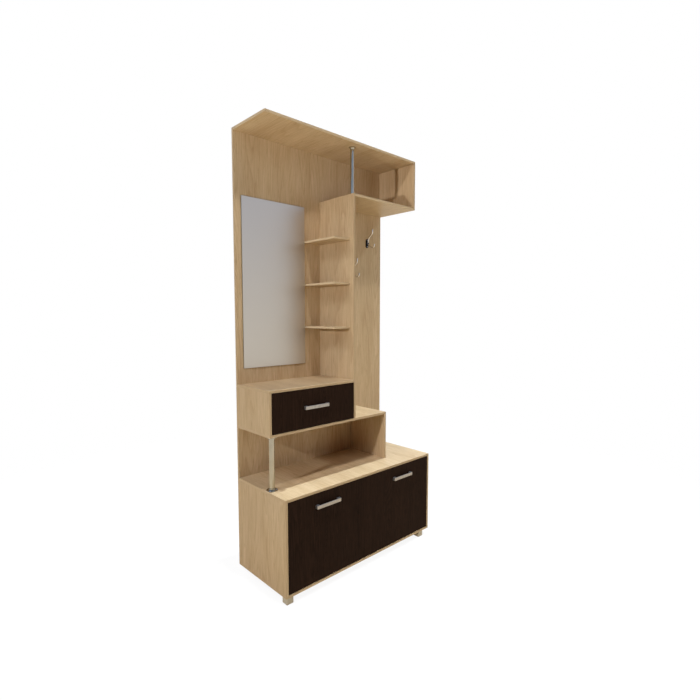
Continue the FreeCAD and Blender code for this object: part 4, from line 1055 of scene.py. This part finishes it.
@dataclass
class Fixings:
    """Every screw and dowel, one piece for each frame node of them."""

    screws: dict[str, str] = field(default_factory=lambda: {
        "back_board_screws": "carcass", "fitting_screws": "carcass", "foot_screws": "carcass",
        "drawer_handle_screws": "drawer", "drawer_runner_screws": "drawer",
        "flap_screws": "shoe_flap", "flap_handle_screws": "shoe_flap",
    })
    dowels: dict[str, str] = field(default_factory=lambda: {
        "carcass_dowels": "carcass", "drawer_dowels": "drawer",
    })
    pitch_share: float = 0.45
    # A head stands proud where it is this many times as wide at its foot as the shank
    proud_share: float = 1.5
    crown_share: float = 0.8
    chamfer: float = 1.0 * MM

    def build(self) -> list[str]:
        """Make the screws and the dowels.

        Returns:
            Their names.
        """
        screw, dowel = ScrewRecipe(), DowelRecipe()
        return [
            *(self.place(screw, node, body, ZINC, "zinc_steel") for node, body in self.screws.items()),
            *(self.place(dowel, node, body, BEECH, "beech_dowel") for node, body in self.dowels.items()),
        ]

    def named_sizes(self, pin: Pin) -> dict[str, float]:
        """The recipes' sizes for pins like this one.

        Args:
            pin: one screw or dowel.

        Returns:
            A value for each size's name. A head that stands proud is narrower at its crown.
        """
        proud = pin.seat > self.proud_share * pin.shank
        return {
            "Length": pin.length,
            "Crown": pin.crown * self.crown_share if proud else pin.crown,
            "Head": pin.head,
            "Seat": pin.seat,
            "Shank": pin.shank,
            "Pitch": pin.shank * self.pitch_share,
            "Chamfer": self.chamfer,
        }

    def place(self, recipe: Recipe, node: str, body: str, finish: Finish, slot: str) -> str:
        """Make the pieces of one frame node and put them in its place.

        Args:
            recipe: the shape that repeats.
            node: the frame node that the piece stands for.
            body: the body that it rides on.
            finish: its finish.
            slot: the record's material slot. Not used.

        Returns:
            The new piece's name.
        """
        kinds: dict[tuple[float, ...], list[Pin]] = {}
        for corners in solids_of(node):
            pin = measure_pin(corners)
            kinds.setdefault(pin.sizes(), []).append(pin)
        whole = bmesh.new()
        for pins in kinds.values():
            grown = recipe.grow(pins, self.named_sizes(pins[0]), finish)
            whole.from_mesh(grown)
            bpy.data.meshes.remove(grown)
        mesh = bpy.data.meshes.new(f"made_{node}")
        whole.to_mesh(mesh)
        whole.free()
        mesh.materials.append(finish.material())
        piece = into_scene(f"made_{node}", mesh)
        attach(piece, body)
        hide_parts(node)
        return piece.name


@dataclass(frozen=True)
class Lamp:
    """A round lamp that lights a white card, held square to it at any distance, to its level."""

    name: str
    place: tuple[float, float, float]
    width: float
    level: float
    colour: str = "#FFFFFF"

    def build(self) -> None:
        """Hang the lamp, out of sight and out of reflections."""
        light = bpy.data.lights.new(self.name, "POINT")
        light.color = linear(self.colour)[:3]
        light.energy = CARD_POWER * self.level
        light.shadow_soft_size = self.width / 2.0
        tree = emptied(light)
        even = add_node(tree, "ShaderNodeLightFalloff", {"Strength": 1.0}).outputs["Constant"]
        glow = add_node(tree, "ShaderNodeEmission", {"Strength": even}).outputs[0]
        add_node(tree, "ShaderNodeOutputLight", {"Surface": glow})
        lamp = into_scene(self.name, light)
        lamp.location = self.place
        lamp.visible_camera = False
        lamp.visible_glossy = False


def seen_rays(tree: Tree) -> tuple[Socket, Socket]:
    """Tell the rays that show a thing from those that only light others with it.

    Args:
        tree: the node tree.

    Returns:
        1 for rays from the camera, and 1 for rays from the camera or a reflection.
    """
    path = add_node(tree, "ShaderNodeLightPath").outputs
    from_camera = path["Is Camera Ray"]
    return from_camera, calculate(tree, "MAXIMUM", from_camera, path["Is Glossy Ray"])


@dataclass
class Studio:
    """Pale floor, white backdrop, lamps and the camera at the photograph's angle.

    Reflections show a tinted sky instead of the white: each side of it has its colours by height, from 0
    at the horizon to 1 overhead.
    """

    ambient: float = 0.05
    ambient_colour: str = "#FFD6C2"
    floor_half: float = 6.0
    floor_clear: float = 1.3
    floor_end: float = 3.0
    floor_glow: float = 0.9
    floor_lift: float = 0.06
    floor_seen: str = "#5E5D5B"
    floor_bounce: str = "#C0B39C"
    floor_shine: str = "#F8DFB8"
    left_sky: dict[float, str] = field(default_factory=lambda: {
        0.0: "#F2E6D6", 0.2: "#A9BBD8", 0.45: "#8CA6D2", 1.0: "#6F8BC6",
    })
    right_sky: dict[float, str] = field(default_factory=lambda: {
        0.0: "#FAF3E6", 0.07: "#F1F0EF", 0.22: "#D5D8E5", 0.45: "#CBD0E2", 1.0: "#8FA3D0",
    })
    # The two sides of the sky blend where a ray goes sideways by less than this
    sky_blend: float = 0.5
    camera_place: tuple[float, float, float] = (-1.6133, -1.7780, 1.2639)
    camera_tilt: float = 85.68
    camera_turn: float = -43.25
    camera_lens: float = 23.73
    camera_film: float = 36.0
    lamps: tuple[Lamp, ...] = (
        Lamp("overhead_lamp", (-0.4, -0.71, 2.87), 0.12, 0.36, "#F7FAFF"),
        Lamp("low_left_lamp", (-2.0, -0.37, 1.5), 0.05, 0.33, "#F5F8FF"),
        Lamp("high_left_fill", (-2.4, 0.3, 3.6), 1.0, 0.28, "#E4F2FF"),
        Lamp("right_lamp", (2.3, -0.1, 4.2), 0.1, 1.27, "#DAEFFF"),
        Lamp("front_left_fill", (-1.6, -1.8, 2.8), 1.0, 0.1, "#F5F8FF"),
        Lamp("right_front_fill", (2.6, -3.0, 1.6), 1.5, 0.14, "#EFF5FF"),
        Lamp("back_fill", (0.3, 3.2, 1.3), 1.5, 0.42, "#F5F8FF"),
    )

    def build(self) -> None:
        """Set the stage up."""
        bpy.context.scene.view_settings.view_transform = "Standard"
        self.build_world()
        self.build_floor()
        for lamp in self.lamps:
            lamp.build()
        self.build_camera()

    def build_world(self) -> None:
        """Make a backdrop that is white to the camera, a tinted sky in reflections and else a soft light."""
        world = bpy.data.worlds.new("white_backdrop")
        bpy.context.scene.world = world
        tree = emptied(world)
        from_camera, seen = seen_rays(tree)
        ray = add_node(tree, "ShaderNodeTexCoord").outputs["Generated"]
        parts = add_node(tree, "ShaderNodeSeparateXYZ", {0: ray}).outputs
        left, right = (
            ramp(tree, parts["Z"], tuple(sky), tuple(sky.values()))
            for sky in (self.left_sky, self.right_sky)
        )
        side = rescale(tree, parts["X"], (-self.sky_blend, self.sky_blend))
        shown = blend(tree, from_camera, blend(tree, side, left, right), WHITE)
        bright = add_node(tree, "ShaderNodeBackground", {"Color": shown, "Strength": 1.0}).outputs[0]
        inputs = {"Color": linear(self.ambient_colour), "Strength": self.ambient}
        soft = add_node(tree, "ShaderNodeBackground", inputs).outputs[0]
        mixed = add_node(tree, "ShaderNodeMixShader", {0: seen, 1: soft, 2: bright}).outputs[0]
        add_node(tree, "ShaderNodeOutputWorld", {"Surface": mixed})

    def build_floor(self) -> None:
        """Lay a pale floor that keeps the object's shadow and fades into the white further out."""
        half = self.floor_half
        mesh = bpy.data.meshes.new("studio_floor")
        mesh.from_pydata([(-half, -half, 0.0), (half, -half, 0.0), (half, half, 0.0), (-half, half, 0.0)],
                         [], [(0, 1, 2, 3)])
        mesh.materials.append(self.floor_material())
        floor = into_scene("studio_floor", mesh)

    def floor_material(self) -> bpy.types.Material:
        """Make the floor's matt paint, which glows a little to the eye so that it reads as white.

        Returns:
            The material.
        """
        made = bpy.data.materials.new("matt_white_floor_paint")
        tree = emptied(made)
        from_camera, seen = seen_rays(tree)
        glow = rescale(tree, seen, (0.0, 1.0), (self.floor_lift, self.floor_glow))
        shine = blend(tree, from_camera, linear(self.floor_shine), WHITE)
        tone = blend(tree, seen, linear(self.floor_bounce), linear(self.floor_seen))
        paint = add_node(tree, "ShaderNodeBsdfDiffuse", {"Color": tone}).outputs[0]
        light = add_node(tree, "ShaderNodeEmission", {"Color": shine, "Strength": glow}).outputs[0]
        lit = add_node(tree, "ShaderNodeAddShader", {0: paint, 1: light}).outputs[0]
        where = add_node(tree, "ShaderNodeTexCoord").outputs["Object"]
        reach = add_node(tree, "ShaderNodeVectorMath", {0: where}, operation="LENGTH").outputs["Value"]
        far = rescale(tree, reach, (self.floor_clear, self.floor_end), kind="SMOOTHSTEP")
        gone = calculate(tree, "MULTIPLY", far, seen)
        clear = add_node(tree, "ShaderNodeBsdfTransparent").outputs[0]
        mixed = add_node(tree, "ShaderNodeMixShader", {0: gone, 1: lit, 2: clear}).outputs[0]
        add_node(tree, "ShaderNodeOutputMaterial", {"Surface": mixed})
        return made

    def build_camera(self) -> None:
        """Put the camera where the photograph was taken from."""
        lens = bpy.data.cameras.new("photo_camera")
        lens.lens = self.camera_lens
        lens.sensor_width = self.camera_film
        camera = into_scene("photo_camera", lens)
        camera.location = self.camera_place
        camera.rotation_euler = (math.radians(self.camera_tilt), 0.0, math.radians(self.camera_turn))
        bpy.context.scene.camera = camera


def main() -> None:
    """Build every sub-assembly in order, then the studio, and log the name of each piece."""
    logging.basicConfig(level=logging.INFO, format="%(name)s %(message)s")
    for assembly in (Carcass(), Mirror(), Posts(), CoatHooks(), Drawer(), ShoeFlap(), Fixings()):
        for piece in assembly.build():
            LOG.info("%s: %s", type(assembly).__name__, piece)
    Studio().build()


if __name__ == "__main__":
    main()
